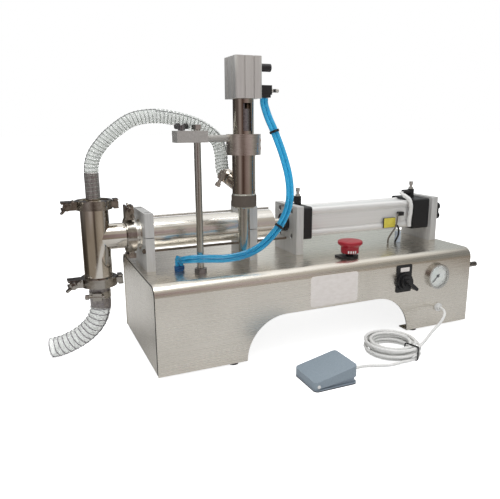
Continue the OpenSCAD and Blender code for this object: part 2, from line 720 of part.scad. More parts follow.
module clamp_gaskets() color("white") {
    for (z = [upper_z, lower_z]) at_tee(z - gasket_t / 2 + run) pipe(gasket_t - 2 * run,
        ferrule_d / 2 - 1, tee_r_in);
    along_x(joint_x - gasket_t / 2 + run, axis_y, axis_z) pipe(gasket_t - 2 * run, ferrule_d / 2 - 1,
        branch_r_in);
}
module clamp_half(side) difference() {
    union() {
        intersection() {
            rotate_extrude($fn = 96) polygon([[clamp_r_in, -clamp_w / 2], [clamp_d / 2, -clamp_w / 2],
                [clamp_d / 2, clamp_w / 2], [clamp_r_in, clamp_w / 2], [clamp_r_in, groove_w / 2],
                [ferrule_d / 2 + seat, groove_w / 2], [ferrule_d / 2 + seat, -groove_w / 2],
                [clamp_r_in, -groove_w / 2]]);
            translate([-clamp_d, side > 0 ? half_gap : -clamp_d - half_gap, -clamp_w])
                cube([2 * clamp_d, clamp_d, 2 * clamp_w]);
        }
        translate([-bolt_off - 7, side > 0 ? half_gap : -half_gap - lug_t, -lug_h / 2])
            cube([bolt_off + 7 - clamp_d / 2 + 2, lug_t, lug_h]);
        translate([clamp_d / 2 - 2, side > 0 ? half_gap : -half_gap - lug_t, -4]) cube([10, lug_t, 8]);
    }
    translate([-bolt_off - 8, -clamp_d, -bolt_d / 2 - free]) cube([8 + bolt_d / 2 + 0.5, 2 * clamp_d,
        bolt_d + 2 * free]);
    if (side > 0) translate([-bolt_off, half_gap + lug_t / 2, -lug_h]) cylinder(h = 2 * lug_h,
        r = pin_d / 2 + seat);
    translate([hinge_off, side * hinge_y, -lug_h]) cylinder(h = 2 * lug_h, r = pin_d / 2 + seat);
}
module clamp_bolt() {
    translate([-bolt_off, half_gap + lug_t / 2, 0]) {
        rotate([90, 0, 0]) cylinder(h = bolt_l + lug_t / 2, d = bolt_d);
        translate([0, 0, -lug_h / 2]) cylinder(h = lug_h, d = pin_d);
    }
}
module clamp_link() {
    for (side = [-1, 1]) translate([hinge_off, side * hinge_y, -7]) cylinder(h = 14, d = pin_d);
    for (z = [-7, 5]) translate([hinge_off - 3, -hinge_y - 3, z]) cube([7, 2 * hinge_y + 6, 2]);
}
module pipe_clamps() color("silver") for (i = [0:2]) at_clamp(i) {
    clamp_half(-1);
    clamp_half(1);
    clamp_bolt();
    clamp_link();
}
module wing_nut(i) color("whitesmoke") at_clamp(i) translate([-bolt_off, -nut_y, 0]) rotate([90, 0, 0])
    difference() {
    union() {
        cylinder(h = nut_l, d = bolt_d + 5);
        rotate([0, 0, wing_turns[i]]) for (side = [-1, 1]) translate([side * (wing_span / 2 - 4.5), 1.3,
            nut_l - 1])
            rotate([90, 0, 0]) rounded_plate(9, 10, 2.6);
    }
    translate([0, 0, -1]) cylinder(h = 2 * nut_l, r = bolt_d / 2 + run);
}
module rounded_plate(w, l, t) linear_extrude(t) rounded_rect(w, l, 3);
module wing_nut_top() wing_nut(0);
module wing_nut_side() wing_nut(1);
module wing_nut_bottom() wing_nut(2);

// Worm-drive hose clamps, drawn about z with the screw on +x
module worm_clamp(d) {
    band_w = 10;
    r = d / 2 + seat;
    translate([0, 0, -band_w / 2]) pipe(band_w, r + 0.8, r);
    translate([r + 0.4, -6, -band_w / 2 - 0.6]) cube([6, 13, band_w + 1.2]);
    translate([r + 4, -13, 0]) rotate([-90, 0, 0]) cylinder(h = 24, d = 5.4);
    translate([r + 4, -17, 0]) rotate([-90, 0, 0]) hexagon(7, 5);
}
suction_clamp_z = lower_z - barb_collar - 12;
module hose_clamps() color("silver") {
    at_tee(suction_clamp_z) rotate([0, 0, -110]) worm_clamp(suction_od);
}

// Springs: two on the valves, one under the treadle
pedal_spring_x = pedal_x + pedal_l - 16;
module return_springs() color("gray") {
    for (spot = valve_spots) at_tee(spot[0] + seat_t + free + valve_t + seat)
        pipe(spot[1] - spot[0] - seat_t - free - valve_t - 2 * seat, 8, 6.8);
    translate([pedal_spring_x, -pedal_y + pedal_w / 2, tray_floor + seat])
        pipe(pedal_high - 2.2 * pedal_wall - 7, 4.5, 3.3);
}

// Pistons and their rod
piston_x = tube_start + tube_wall + 2;
module piston_rod() color("whitesmoke") along_x(piston_x + 4, axis_y, axis_z)
    cylinder(h = air_piston_x + air_piston_t - piston_x - 5, d = rod_d);
module pistons() color("#404044") {
    along_x(piston_x, axis_y, axis_z) difference() {
        cylinder(h = piston_t, r = bore_r - run);
        translate([0, 0, 4 - seat]) cylinder(h = piston_t, r = rod_d / 2 + seat);
        for (z = [6, piston_t - 10]) translate([0, 0, z]) pipe(4, bore_r + 1, bore_r - 2);
    }
    along_x(air_piston_x, axis_y, axis_z) difference() {
        cylinder(h = air_piston_t, r = air_bore / 2 - run);
        translate([0, 0, -1]) cylinder(h = air_piston_t + seat, r = rod_d / 2 + seat);
        translate([0, 0, air_piston_t / 2 - 2]) pipe(4, air_bore, air_bore / 2 - 2);
    }
}
module stop_screw() color("silver") along_x(stop_tip, axis_y, axis_z) {
    cylinder(h = wheel_x - stop_tip, d = stop_d);
    cylinder(h = wheel_x + wheel_t - stop_tip, d = stop_d - 3);
}
module handwheel() color("#202022") along_x(wheel_x + free, axis_y, axis_z) difference() {
    union() {
        cylinder(h = wheel_t - 2, d = wheel_d - 11);
        for (i = [0:5]) rotate([0, 0, 60 * i]) translate([wheel_d / 2 - 6.5, 0, 0])
            cylinder(h = wheel_t - 2, d = 13);
        translate([0, 0, wheel_t - 2.2]) cylinder(h = 2, d = wheel_d - 24);
    }
    translate([0, 0, -1]) cylinder(h = wheel_t + 4, r = stop_d / 2 - 1.5 + run);
}

// Nozzle stand: post, sliding arm and clamp ring
rod_z = arm_base + arm_d / 2;
screw_x = post_x - 22;
cap_nut_h = 6;
ear_t = 6;
module stand_post() color("whitesmoke") translate([post_x, post_y, 0]) {
    translate([0, 0, top_z - 16]) cylinder(h = post_h + 16, d = post_d);
    translate([0, 0, top_z + post_h - 3]) hexagon(13, cap_nut_h);
}
module nozzle_arm() color("lightgray") difference() {
    union() {
        translate([post_x - arm_back, post_y - arm_w / 2, arm_base]) cube([arm_back + arm_front, arm_w,
            arm_h]);
        along_x(post_x + arm_front - 1, post_y, rod_z) cylinder(h = reach - arm_front - ring_d / 2 + 8,
            d = arm_d);
    }
    translate([post_x, post_y, arm_base - 1]) cylinder(h = arm_h + 2, r = post_d / 2 + run);
    translate([screw_x, post_y, arm_base + 3]) cylinder(h = arm_h, r = bolt_d / 2 + run);
    translate([post_x - arm_back - 1, post_y - 0.6, arm_base - 1]) cube([arm_back - 10, 1.2, 4]);
    translate([nozzle_x, post_y, ring_z - 1]) cylinder(h = ring_h + 20, r = ring_d / 2 + run);
}
module arm_screw() color("silver") translate([screw_x, post_y, arm_base + 4]) {
    cylinder(h = arm_h + 2, d = bolt_d);
    translate([0, 0, arm_h - 4 + free]) cylinder(h = 7, d = bolt_d + 4);
    rotate([0, 0, 30]) for (side = [-1, 1]) translate([side * 8, 1.2, arm_h + 2]) rotate([90, 0, 0])
        rounded_plate(10, 8, 2.4);
}
inlet_z = body_z + 6;
inlet_turn = 118;
inlet_rise = 28;
inlet_start = 28.6;
inlet_barb_l = 10;
module at_inlet(s) translate([nozzle_x, post_y, inlet_z]) rotate([0, 0, inlet_turn]) rotate([0,
    90 - inlet_rise, 0])
    translate([0, 0, s]) children();
ring_bolt_d = 3;
ring_bolt_x = nozzle_x + (ring_d + body_d) / 4;
ring_bolt_zs = [ring_z + 9, ring_z + ring_h - 9];
module nozzle_clamps() color("silver") {
    difference() {
        translate([nozzle_x, post_y, ring_z]) cylinder(h = ring_h, d = ring_d);
        translate([nozzle_x, post_y, ring_z - 1]) cylinder(h = ring_h + 2, r = body_d / 2 + seat);
        translate([nozzle_x, post_y - 1, ring_z - 1]) cube([ring_d, 2, ring_h + 2]);
        for (z = ring_bolt_zs) {
            out_front(ring_bolt_x, post_y + ear_t, z) cylinder(h = ring_d, d = ring_bolt_d + 0.2);
            out_front(ring_bolt_x, post_y - ear_t, z) cylinder(h = ring_d, d = 2 * ring_bolt_d);
        }
    }
    for (z = ring_bolt_zs) out_front(ring_bolt_x, post_y + ear_t, z) {
        cylinder(h = 2 * ear_t + seat, d = ring_bolt_d);
        translate([0, 0, 2 * ear_t + seat]) cylinder(h = ring_bolt_d, d = 2 * ring_bolt_d - 0.4);
    }
    at_inlet(inlet_start + inlet_barb_l / 2 + 1) rotate([0, 0, 100]) worm_clamp(outlet_od);
}

// Filling nozzle: tip, collar, body, air actuator and the plunger through them
body_r_in = body_d / 2 - body_wall;
neck_r_in = neck_d / 2 - body_wall;
window_w = 12;
coupling_h = 34;
plug_d = tip_d - 2 * tip_wall - 0.8;
plug_h = 7;
tip_z = collar_z - tip_l;
tip_seat = 3;
bore_z = act_z + 8;
act_bore = 32;
act_piston_t = 9;
module at_nozzle(z) translate([nozzle_x, post_y, z]) children();
module nozzle_tip() color("whitesmoke") at_nozzle(0) rotate_extrude($fn = 64) polygon([[plug_d / 2 - 1,
    tip_z],
    [tip_d / 2 - 0.8, tip_z], [tip_d / 2, tip_z + 0.8], [tip_d / 2, collar_z], [collar_d / 2 - 3, collar_z],
    [collar_d / 2, collar_z + 2], [collar_d / 2, body_z - 2], [collar_d / 2 - 1, body_z - seat],
    [tip_d / 2 - tip_wall, body_z - seat], [tip_d / 2 - tip_wall, tip_z + tip_seat], [plug_d / 2 - 1,
        tip_z + tip_seat]]);
module nozzle_body() color("silver") difference() {
    union() {
        at_nozzle(0) rotate_extrude($fn = 64) polygon([[0, body_z], [body_d / 2, body_z], [body_d / 2,
            neck_z],
            [neck_d / 2, neck_z], [neck_d / 2, act_z - seat], [0, act_z - seat]]);
        at_inlet(0) cylinder(h = inlet_start - 1, d = outlet_od + 2);
        at_inlet(0) cylinder(h = inlet_start + inlet_barb_l, r = outlet_barb_r);
    }
    at_nozzle(body_z - 1) cylinder(h = body_h - 7, r = body_r_in);
    at_nozzle(body_z) cylinder(h = body_h + neck_h, r = plunger_d / 2 + run);
    at_nozzle(neck_z + 2) cylinder(h = neck_h, r = neck_r_in);
    at_inlet(0) cylinder(h = inlet_start + 30, r = outlet_barb_r - tee_wall);
    at_nozzle(neck_z + 6) translate([-window_w / 2, -neck_d, 0]) cube([window_w, neck_d, neck_h - 12]);
    at_nozzle(body_z - 20) cylinder(h = 20, d = body_d + 40);
}
module nozzle_cylinder() color("lightgray") at_nozzle(act_z) difference() {
    linear_extrude(act_h) difference() {
        rounded_rect(act_w, act_l, 3);
        for (x = [-7, 7], y = [-1, 1]) translate([x - 1.5, y * act_l / 2 - 1.5]) square([3, 3]);
        for (x = [-1, 1], y = [-9, 9]) translate([x * act_w / 2 - 1.5, y - 2]) square([3, 4]);
    }
    translate([0, 0, bore_z - act_z]) cylinder(h = act_h - 15, d = act_bore, $fn = 64);
    translate([0, 0, -1]) cylinder(h = act_h, r = plunger_d / 2 + run);
    for (z = [fit_low, fit_high]) translate([act_bore / 2 - 1, 0, z]) rotate([0, 90, 0])
        cylinder(h = act_w, r = port_d / 2 + seat);
}
fit_low = 12;
fit_high = 43;
fit_x = act_w / 2;
tube_x = 31.5;
module nozzle_fittings() color("#27272a") at_nozzle(act_z) {
    for (z = [fit_low, fit_high]) translate([act_bore / 2, 0, z]) rotate([0, 90, 0])
        cylinder(h = fit_x - act_bore / 2 + 1, d = port_d);
    translate([fit_x, 0, fit_high]) rotate([0, 90, 0]) {
        hexagon(13, 5);
        cylinder(h = 22, d = 11);
    }
    difference() {
        union() {
            translate([fit_x, 0, fit_low]) rotate([0, 90, 0]) hexagon(13, 4);
            translate([fit_x + 2, -7, fit_low - 6]) cube([20, 14, 13]);
            translate([tube_x - 8, -8, fit_low - 10]) cube([16, 10, 5]);
        }
        for (side = [-1, 1]) translate([tube_x + side * twin_off, -3, fit_low - 11]) cylinder(h = 5,
            d = 2.4);
    }
    translate([fit_x + 22, 0, fit_low]) rotate([0, 90, 0]) cylinder(h = 8, d = 5);
}
twin_off = 3.1;
module nozzle_plunger() color("whitesmoke") {
    at_nozzle(tip_z + tip_seat + free) cylinder(h = plug_h, d = plug_d);
    at_nozzle(tip_z + tip_seat + free) cylinder(h = bore_z + 2 - tip_z - tip_seat, d = plunger_d);
    at_nozzle(neck_z + 2 + free) cylinder(h = coupling_h, r = neck_r_in - free);
    at_nozzle(bore_z + free) cylinder(h = act_piston_t, r = act_bore / 2 - run);
}

// Emergency stop, selector and gauge
stem_r = 6;
legend_t = 3;
legend_d = 28;
legend_tab = 22;
contact_w = 30;
contact_l = 40;
contact_h = 31;
head_z = top_z + legend_t + estop_travel + free;
guide_r = 11;
skirt_r = 14.5;
socket_h = 14;
module estop_base() color("#202022") translate([estop_at, estop_y, top_z]) difference() {
    union() {
        cylinder(h = legend_t, d = legend_d);
        linear_extrude(legend_t) translate([-legend_tab / 2, 0]) rounded_rect(legend_tab, legend_tab, 2);
        translate([0, 0, -22]) cylinder(h = 24, d = panel_hole - 0.4);
        translate([0, 0, -sheet_t - 6]) hexagon(30, 6);
        translate([-contact_w / 2, -contact_l / 2, -contact_h - 21]) cube([contact_w, contact_l,
            contact_h]);
    }
    translate([0, 0, -16]) cylinder(h = 40, r = stem_r + run);
}
module estop_stem() color("#303034") translate([estop_at, estop_y, top_z - 10])
    cylinder(h = head_z + socket_h - top_z + 10, r = stem_r);
module estop_head() color("#a01824") translate([estop_at, estop_y, head_z]) rotate_extrude($fn = 96)
    polygon([[guide_r + 1, 0], [skirt_r, 0], [skirt_r, 9.6], [estop_d / 2 - 1.2, 13.6], [estop_d / 2, 15],
        [estop_d / 2, 17.6], [estop_d / 2 - 0.5, 18.7], [estop_d / 2 - 1.6, 19.5], [estop_d / 2 - 4, 20.1],
        [estop_d / 2 - 12, 20.7], [0, 20.8], [0, socket_h + free], [stem_r + run, socket_h + free],
        [stem_r + run, 7], [guide_r + 1, 7]]);

plate_z = selector_z + 5;
module selector_plate() color("#202022") difference() {
    union() {
        out_front(selector_x, 0, plate_z) linear_extrude(1.6) rounded_rect(30, 46, 2);
        out_front(selector_x, 0, selector_z) cylinder(h = 6, d = 29);
        out_front(selector_x, 30, selector_z) cylinder(h = 31, d = panel_hole - 0.4);
        out_front(selector_x, sheet_t + 6, selector_z) hexagon(30, 6);
        translate([selector_x - contact_w / 2, 29, selector_z - contact_w / 2]) cube([contact_w,
            contact_w, contact_w]);
    }
    out_front(selector_x, 18, selector_z) cylinder(h = 40, r = stem_r + run);
}
lever_turn = -40;
lever_w = 5.6;
module selector_lever() color("#303034") out_front(selector_x, 16, selector_z) {
    cylinder(h = 30, r = stem_r);
    translate([0, 0, 16 + 6 + free]) cylinder(h = 5, d = 22);
    rotate([0, 0, lever_turn]) translate([5, 0, 16 + 6 + free + 2]) linear_extrude(12)
        rounded_rect(26, lever_w, lever_w / 2 - 0.2);
}

bezel_h = 6;
dial_r = gauge_d / 2 - 2.5;
module gauge_case() color("silver") out_front(gauge_x, 0, gauge_z) difference() {
    union() {
        cylinder(h = bezel_h, d = gauge_d, $fn = 96);
        translate([0, 0, -22]) cylinder(h = 23, d = gauge_back_d, $fn = 96);
        translate([0, 0, -36]) hexagon(14, 15);
    }
    translate([0, 0, 1]) cylinder(h = bezel_h, r = dial_r, $fn = 96);
    translate([0, 0, -4]) cylinder(h = 10, r = 1 + run);
}
module gauge_glass() color("lightcyan") out_front(gauge_x, 0, gauge_z) translate([0, 0, bezel_h - 2])
    cylinder(h = 1.2, r = dial_r - run, $fn = 96);
module gauge_needle() color("black") out_front(gauge_x, 0, gauge_z) {
    translate([0, 0, -3]) cylinder(h = 5, r = 1);
    translate([0, 0, 1 + free]) cylinder(h = 1.2, r = 2.6);
    rotate([0, 0, 225]) translate([-4, -0.7, 1 + free]) cube([18, 1.4, 0.9]);
}

// Cord entry and air inlet
module cord_grommet() color("white") out_front(grommet_x, 0, grommet_z) difference() {
    union() {
        translate([0, 0, -sheet_t - 4]) cylinder(h = sheet_t + 5, d = grommet_neck_d);
        cylinder(h = 3, d = grommet_neck_d + 5);
        cylinder(h = 6, d1 = grommet_neck_d + 3, d2 = cord_d + 3);
    }
    translate([0, 0, -sheet_t - 5]) cylinder(h = 20, r = cord_d / 2 + seat);
}
nipple_hex = 9;
module air_nipple() color("goldenrod") along_x(base_l - end_recess, nipple_y, nipple_z) difference() {
    union() {
        translate([0, 0, -18]) cylinder(h = 19, d = nipple_thread_d);
        hexagon(16, nipple_hex);
        cylinder(h = nipple_l + end_recess, d = nipple_d);
        translate([0, 0, -sheet_t - 6]) hexagon(15, 6);
    }
    translate([0, 0, -20]) cylinder(h = nipple_l + 40, d = nipple_d - 3.5);
}

// Foot switch: a tray with the hinge pin, and the treadle over it
tray_gap = 0.6;
tray_floor = 3;
tray_wall = 1.5;
tray_lap = 2.5;
pedal_r = 6;
hinge_px = pedal_x + 6;
hinge_pz = 8;
skirt_z = 3.6;
skirt_rise = pedal_l * sin(pedal_angle) + 0.6;
pedal_mid = -pedal_y + pedal_w / 2;
cord_in_z = 7;
module pedal_side(y, w) translate([0, y + w, 0]) rotate([90, 0, 0]) linear_extrude(w) children();
module pedal_base() color("dimgray") {
    in = pedal_wall + tray_gap;
    right = pedal_x + pedal_l - in - 1;
    difference() {
        translate([pedal_x + pedal_l / 2, pedal_mid, 0]) linear_extrude(tray_floor)
            rounded_rect(pedal_l, pedal_w, pedal_r);
        translate([pedal_x + 12, pedal_mid - 16, -1]) cube([20, 32, 2]);
    }
    difference() {
        union() {
            difference() {
                pedal_side(-pedal_y + in, pedal_w - 2 * in) polygon([[pedal_x + in, 1], [right, 1],
                    [right, skirt_z + skirt_rise + tray_lap], [pedal_x + in, skirt_z + tray_lap]]);
                translate([pedal_x + in + tray_wall, -pedal_y + in + tray_wall, 0])
                    cube([pedal_l - 2 * (in + tray_wall) - 1, pedal_w - 2 * (in + tray_wall), pedal_high]);
            }
            translate([right - 4, pedal_mid - 8, 2]) cube([4, 16, 10]);
        }
        along_x(pedal_x + pedal_l - 12, pedal_mid, cord_in_z) cylinder(h = 12, r = cord_d / 2 + seat);
    }
    for (y = [-pedal_y + in, -pedal_y + pedal_w - in - 4]) translate([pedal_x + in, y, 2])
        cube([8, 4, hinge_pz + 1]);
    translate([hinge_px, -pedal_y + 0.4, hinge_pz]) rotate([-90, 0, 0]) cylinder(h = pedal_w - 0.8, d = 4);
    translate([pedal_x + 20, pedal_mid - 5, 2]) cube([20, 10, 9]);
}
module treadle() color("lightsteelblue") difference() {
    intersection() {
        pedal_side(-pedal_y, pedal_w) polygon([[pedal_x, skirt_z], [pedal_x + pedal_l,
            skirt_z + skirt_rise],
            [pedal_x + pedal_l, pedal_high], [pedal_x, pedal_low]]);
        translate([pedal_x + pedal_l / 2, pedal_mid, 0]) linear_extrude(2 * pedal_high)
            rounded_rect(pedal_l, pedal_w, pedal_r);
    }
    pedal_side(-pedal_y + pedal_wall, pedal_w - 2 * pedal_wall) polygon([[pedal_x + pedal_wall, 0],
        [pedal_x + pedal_l - pedal_wall, 0], [pedal_x + pedal_l - pedal_wall,
            pedal_high - 1.25 * pedal_wall],
        [pedal_x + pedal_wall, pedal_low - 0.75 * pedal_wall]]);
    translate([hinge_px, -pedal_y - 1, hinge_pz]) rotate([-90, 0, 0]) cylinder(h = pedal_w + 2,
        r = 2 + run);
    translate([pedal_x + pedal_l - 6, pedal_mid - 4, 0]) cube([10, 8, 19]);
}

// Hoses, air tubes and the foot switch's cord
function above_top(list) = [for (p = list) p + [0, 0, top_z]];
function from_grommet(list) = [for (p = list) p + [grommet_x, 0, 0]];
function inlet_point(d) = [nozzle_x, post_y, inlet_z]
    + d * [cos(inlet_rise) * cos(inlet_turn), cos(inlet_rise) * sin(inlet_turn), sin(inlet_rise)];
outlet_route = concat([for (d = [0, 6, 12, 16]) inlet_point(inlet_start + d)],
    above_top([[131.5, 87.5, 147], [131.5, 90, 158], [131, 91, 170], [126, 92.5, 187], [112.5, 94, 200],
        [95, 96, 210], [69, 99, 218], [38, 103, 222.5], [4, 107.5, 217.5], [-25, 114, 198], [-45, 117.5,
            176.5],
        [-53, 119.3, 160]]),
    [for (d = [45, 29, 9.1]) [-tee_x, axis_y, upper_z + d]]);
suction_route = concat([for (d = [9.1, 24, 39]) [-tee_x, axis_y, lower_z - d]],
    [[-58.5, 121, 66], [-65.5, 123.5, 52.5], [-76, 127.5, 40.5], [-89, 131.5, 30.5], [-104, 136, 22.5],
        [-118, 140.5, 17.2], [-129, 144, 15.3]]);
twin_route = concat([for (d = [free, 9]) [nozzle_x + tube_x, post_y - 3, act_z + fit_low - 10 - d]],
    above_top([[185, 38, 219], [191, 32, 201], [200, 24, 171], [207, 18.5, 141], [209, 15.5, 117], [207,
        14, 98],
        [201.5, 14, 82], [191, 15, 64], [171, 18, 42], [152, 21, 30], [133, 26, 23.5], [112, 33, 20.5],
            [94, 36, 21.5],
        [78, 38.5, 22.5], [66, 44, 22], [59, 54, 19.5], [55.6, 65, 16.5]]),
    [for (d = [12, free]) [port_x, port_y, top_z + port_h + d]]);
run_route = from_grommet([[0, -3, 37], [0, -6.5, 37], [-0.6, -12.4, 36.7], [-2.4, -18.1, 35.8],
    [-5.4, -23.1, 34.4], [-9.5, -27.3, 32.4], [-15.5, -31.4, 29.6], [-23, -35.4, 26.4], [-32.5, -39.8, 23.4],
    [-44, -45.1, 20.9], [-57, -52, 19.4], [-72, -62, 18.9], [-88, -72.8, 18.9], [-102.8, -82.2, 18.9],
    [-110.6, -86.7, 18.9]]);
tail_route = from_grommet([[-141.6, -95, 3.3], [-150, -95, 3.3], [-162, -95.3, 2.9], [-174, -93.8, 2.6],
    [-185.5, -90, 2.6], [-196.5, -87.1, 3.2], [-207.5, -86.8, 4.8], [-219.5, -88.6, 6.5], [-231, -90, 7],
    [-240.5, -90, 7], [-250.5, -90, 7]]);
coil_centre = [grommet_x - 136.5, -52, 3.3];
coil_layer_h = 5.2;
coil_turns = coil_loops + 30 / 360;
coil_lead = 4.9;
tie_ties = [3, 9];
tie_turn = -72;
tie_w = 3;

module outlet_hose() color("whitesmoke") ribbed_hose(outlet_route, outlet_od, outlet_id, outlet_pitch,
    [0.2, 1, 0.1]);
module suction_hose() color("whitesmoke") ribbed_hose(suction_route, suction_od, suction_id,
    suction_pitch, [0.4, 1, 0]);
function side_step(p, i, off) = p[i] + off * unit(cross(tangent(p, i), [0, -1, 0]));
module air_tubes() {
    route = even_points(smooth(twin_route, 4), 34);
    color("deepskyblue") for (off = [-twin_off, twin_off])
        swept_tube([for (i = [0:len(route) - 1]) side_step(route, i, off)], air_d, 8, [0, 1, 0]);
    color("#202022") for (i = tie_ties) {
        t = tangent(twin_route, i);
        translate(twin_route[i]) rotate([0, acos(t[2]), atan2(t[1], t[0])]) pipe(3.6, 7.4, 6.4);
    }
}
module tube_port() color("#1d4f7a") translate([port_x, port_y, 0]) {
    translate([0, 0, top_z - 14]) cylinder(h = 15, d = port_thread_d);
    translate([0, 0, top_z - sheet_t - 5]) hexagon(13, 5);
    translate([0, 0, top_z]) hexagon(13, 3);
    translate([0, 0, top_z + 2]) linear_extrude(port_h - 2) rounded_rect(15, 9, 4);
}
module cord_run() color("white") swept_tube(even_points(smooth(run_route, 3), 30), cord_d, 8, [0, 0, 1]);
module cord_tail() color("white") swept_tube(even_points(smooth(tail_route, 3), 12), cord_d, 8, [0, 0, 1]);

// The coil: an unbroken tube that spirals in and out, layer on layer, climbing where it turns back
function coil_radius(v) =
    let (layer = min(floor(v), coil_layers - 1), f = v - layer)
    layer % 2 == 0 ? coil_r - (coil_r - coil_in) * f : coil_in + (coil_r - coil_in) * f;
function ease(f) = f * f * (3 - 2 * f);
function coil_height(v, half) = coil_layer_h
    * sum_of([for (i = [1:coil_layers - 1]) ease(max(0, min(1, (v - i + half) / (2 * half))))]);
function sum_of(list) = [for (x = list) 1] * list;
function coil_point(u) =
    let (v = u / coil_turns * coil_layers, half = 0.25 * coil_layers / coil_turns, a = -90 + 360 * u)
    coil_centre + [coil_radius(v) * cos(a), coil_radius(v) * sin(a), coil_height(v, half)];
coil_steps = round(24 * coil_turns);
coil_path = [for (i = [0:coil_steps]) coil_point(i * coil_turns / coil_steps)];
coil_end_turn = -90 + 360 * coil_turns;
coil_all = concat([coil_path[0] - [coil_lead, 0, 0]], coil_path,
    [last(coil_path) + coil_lead * [-sin(coil_end_turn), cos(coil_end_turn), 0]]);
coil_gap = min([for (i = [0:coil_steps]) for (k = [i + 8:1:coil_steps])
    norm(coil_path[i] - coil_path[k])]) - cord_d;
echo(coil_gap = coil_gap);
module cord_coil() color("white") swept_tube(coil_all, cord_d, 6, [0, 0, 1]);
module cord_tie() color("#202022") translate([coil_centre[0], coil_centre[1], 0]) rotate([0, 0, tie_turn]) {
    inner = coil_in - cord_d / 2 - 0.5;
    outer = coil_r + cord_d / 2 + 0.5;
    top = coil_centre[2] + (coil_layers - 1) * coil_layer_h + cord_d / 2 + 0.3;
    translate([(inner + outer) / 2, tie_w / 2, 0]) rotate([90, 0, 0]) linear_extrude(tie_w) difference() {
        translate([0, top / 2 + 0.6]) rounded_rect(outer - inner + 2, top + 1, 3);
        translate([0, top / 2 + 0.45]) rounded_rect(outer - inner, top - 0.9, 2.2);
    }
}

module in_frame() translate([-frame_x, -frame_y, 0]) children();
in_frame() base_housing();
in_frame() end_plates();
in_frame() rubber_feet();
in_frame() saddles();
in_frame() material_cylinder();
in_frame() tie_rods();
in_frame() middle_plate();
in_frame() rear_plate();
in_frame() cylinder_caps();
in_frame() air_barrel();
in_frame() frame_screws();
in_frame() flow_controls();
in_frame() flow_screw_front();
in_frame() flow_screw_rear();
in_frame() reed_switches();
in_frame() valve_block();
in_frame() tee_body();
in_frame() hose_barbs();
in_frame() clamp_gaskets();
in_frame() pipe_clamps();
in_frame() wing_nut_top();
in_frame() wing_nut_side();
in_frame() wing_nut_bottom();
in_frame() hose_clamps();
in_frame() inlet_valve();
in_frame() outlet_valve();
in_frame() return_springs();
in_frame() piston_rod();
in_frame() pistons();
in_frame() stop_screw();
in_frame() handwheel();
in_frame() stand_post();
in_frame() nozzle_arm();
in_frame() arm_screw();
in_frame() nozzle_clamps();
in_frame() nozzle_body();
in_frame() nozzle_tip();
in_frame() nozzle_cylinder();
in_frame() nozzle_fittings();
in_frame() nozzle_plunger();
in_frame() outlet_hose();
in_frame() suction_hose();
in_frame() air_tubes();
in_frame() tube_port();
in_frame() estop_base();
in_frame() estop_stem();
in_frame() estop_head();
in_frame() selector_plate();
in_frame() selector_lever();
in_frame() gauge_case();
in_frame() gauge_glass();
in_frame() gauge_needle();
in_frame() cord_grommet();
in_frame() air_nipple();
in_frame() pedal_base();
in_frame() treadle();
in_frame() cord_run();
in_frame() cord_coil();
in_frame() cord_tail();
in_frame() cord_tie();
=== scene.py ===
import json
from math import atan2, cos, floor, pi, radians, sin

import bmesh
import bpy
from mathutils import Matrix, Vector


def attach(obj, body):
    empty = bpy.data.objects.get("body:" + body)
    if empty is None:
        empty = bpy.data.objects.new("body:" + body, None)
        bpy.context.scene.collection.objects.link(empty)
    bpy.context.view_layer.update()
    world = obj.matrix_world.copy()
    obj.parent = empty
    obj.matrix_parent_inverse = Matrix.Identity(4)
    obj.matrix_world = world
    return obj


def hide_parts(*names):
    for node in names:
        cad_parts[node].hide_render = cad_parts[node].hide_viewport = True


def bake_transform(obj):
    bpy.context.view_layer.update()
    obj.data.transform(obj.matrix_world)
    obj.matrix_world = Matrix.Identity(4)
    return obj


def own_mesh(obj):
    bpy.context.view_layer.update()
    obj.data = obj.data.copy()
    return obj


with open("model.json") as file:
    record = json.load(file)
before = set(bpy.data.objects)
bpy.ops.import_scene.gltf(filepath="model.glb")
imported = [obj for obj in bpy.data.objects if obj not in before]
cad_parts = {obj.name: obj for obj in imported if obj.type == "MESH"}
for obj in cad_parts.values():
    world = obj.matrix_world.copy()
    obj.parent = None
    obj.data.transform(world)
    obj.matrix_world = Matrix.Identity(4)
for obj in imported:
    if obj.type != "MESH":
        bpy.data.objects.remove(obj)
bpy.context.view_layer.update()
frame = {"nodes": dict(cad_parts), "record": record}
nodes = frame["nodes"]
scene = bpy.context.scene
scene.view_settings.view_transform = "Standard"

MM = 0.001
# Places in bench millimetres, counted from the cabinet's left front corner on the table
ORIGIN = Vector((246, 54.5, 0))
BASE_L, BASE_W, TOP_Z = 556, 228, 134
AXIS_Y, AXIS_Z = 120, 184
TEE_X = -55
NOZZLE_X, NOZZLE_Y = 150.5, 49
ESTOP_X, ESTOP_Y = 331, 37
GAUGE_X, GAUGE_Z = 483.5, 93
GROMMET_X = 489.5
REAR_CAP_X = 501
# Hoses and air tubes: outer radius, distance between ribs, and a rib's depth as a share of the radius
OUTLET_R, OUTLET_PITCH = 10, 5.5
SUCTION_R, SUCTION_PITCH = 15, 8
RIB_DEPTH, BARB_RIB_DEPTH = 0.012, 0.006
AIR_TUBE_R, AIR_TUBE_OFF = 3, 3.1
TO_FRONT = (0, -1, 0)


def bench(x, y, z):
    """A point in millimetres from the cabinet's left front corner on the table, in the frame's metres."""
    return (Vector((x, y, z)) - ORIGIN) * MM


def placed(name, data):
    """Puts data into the scene as an object at the origin."""
    made = bpy.data.objects.new(name, data)
    scene.collection.objects.link(made)
    return made


def meshed(name, bm):
    """Makes an object of a bmesh in the frame's metres."""
    mesh = bpy.data.meshes.new(name)
    bm.to_mesh(mesh)
    bm.free()
    return placed(name, mesh)


def bare_tree(owner):
    """The emptied node tree of a material or the world."""
    owner.use_nodes = True
    owner.node_tree.nodes.clear()
    return owner.node_tree


# Camera, at the photograph's viewing angle

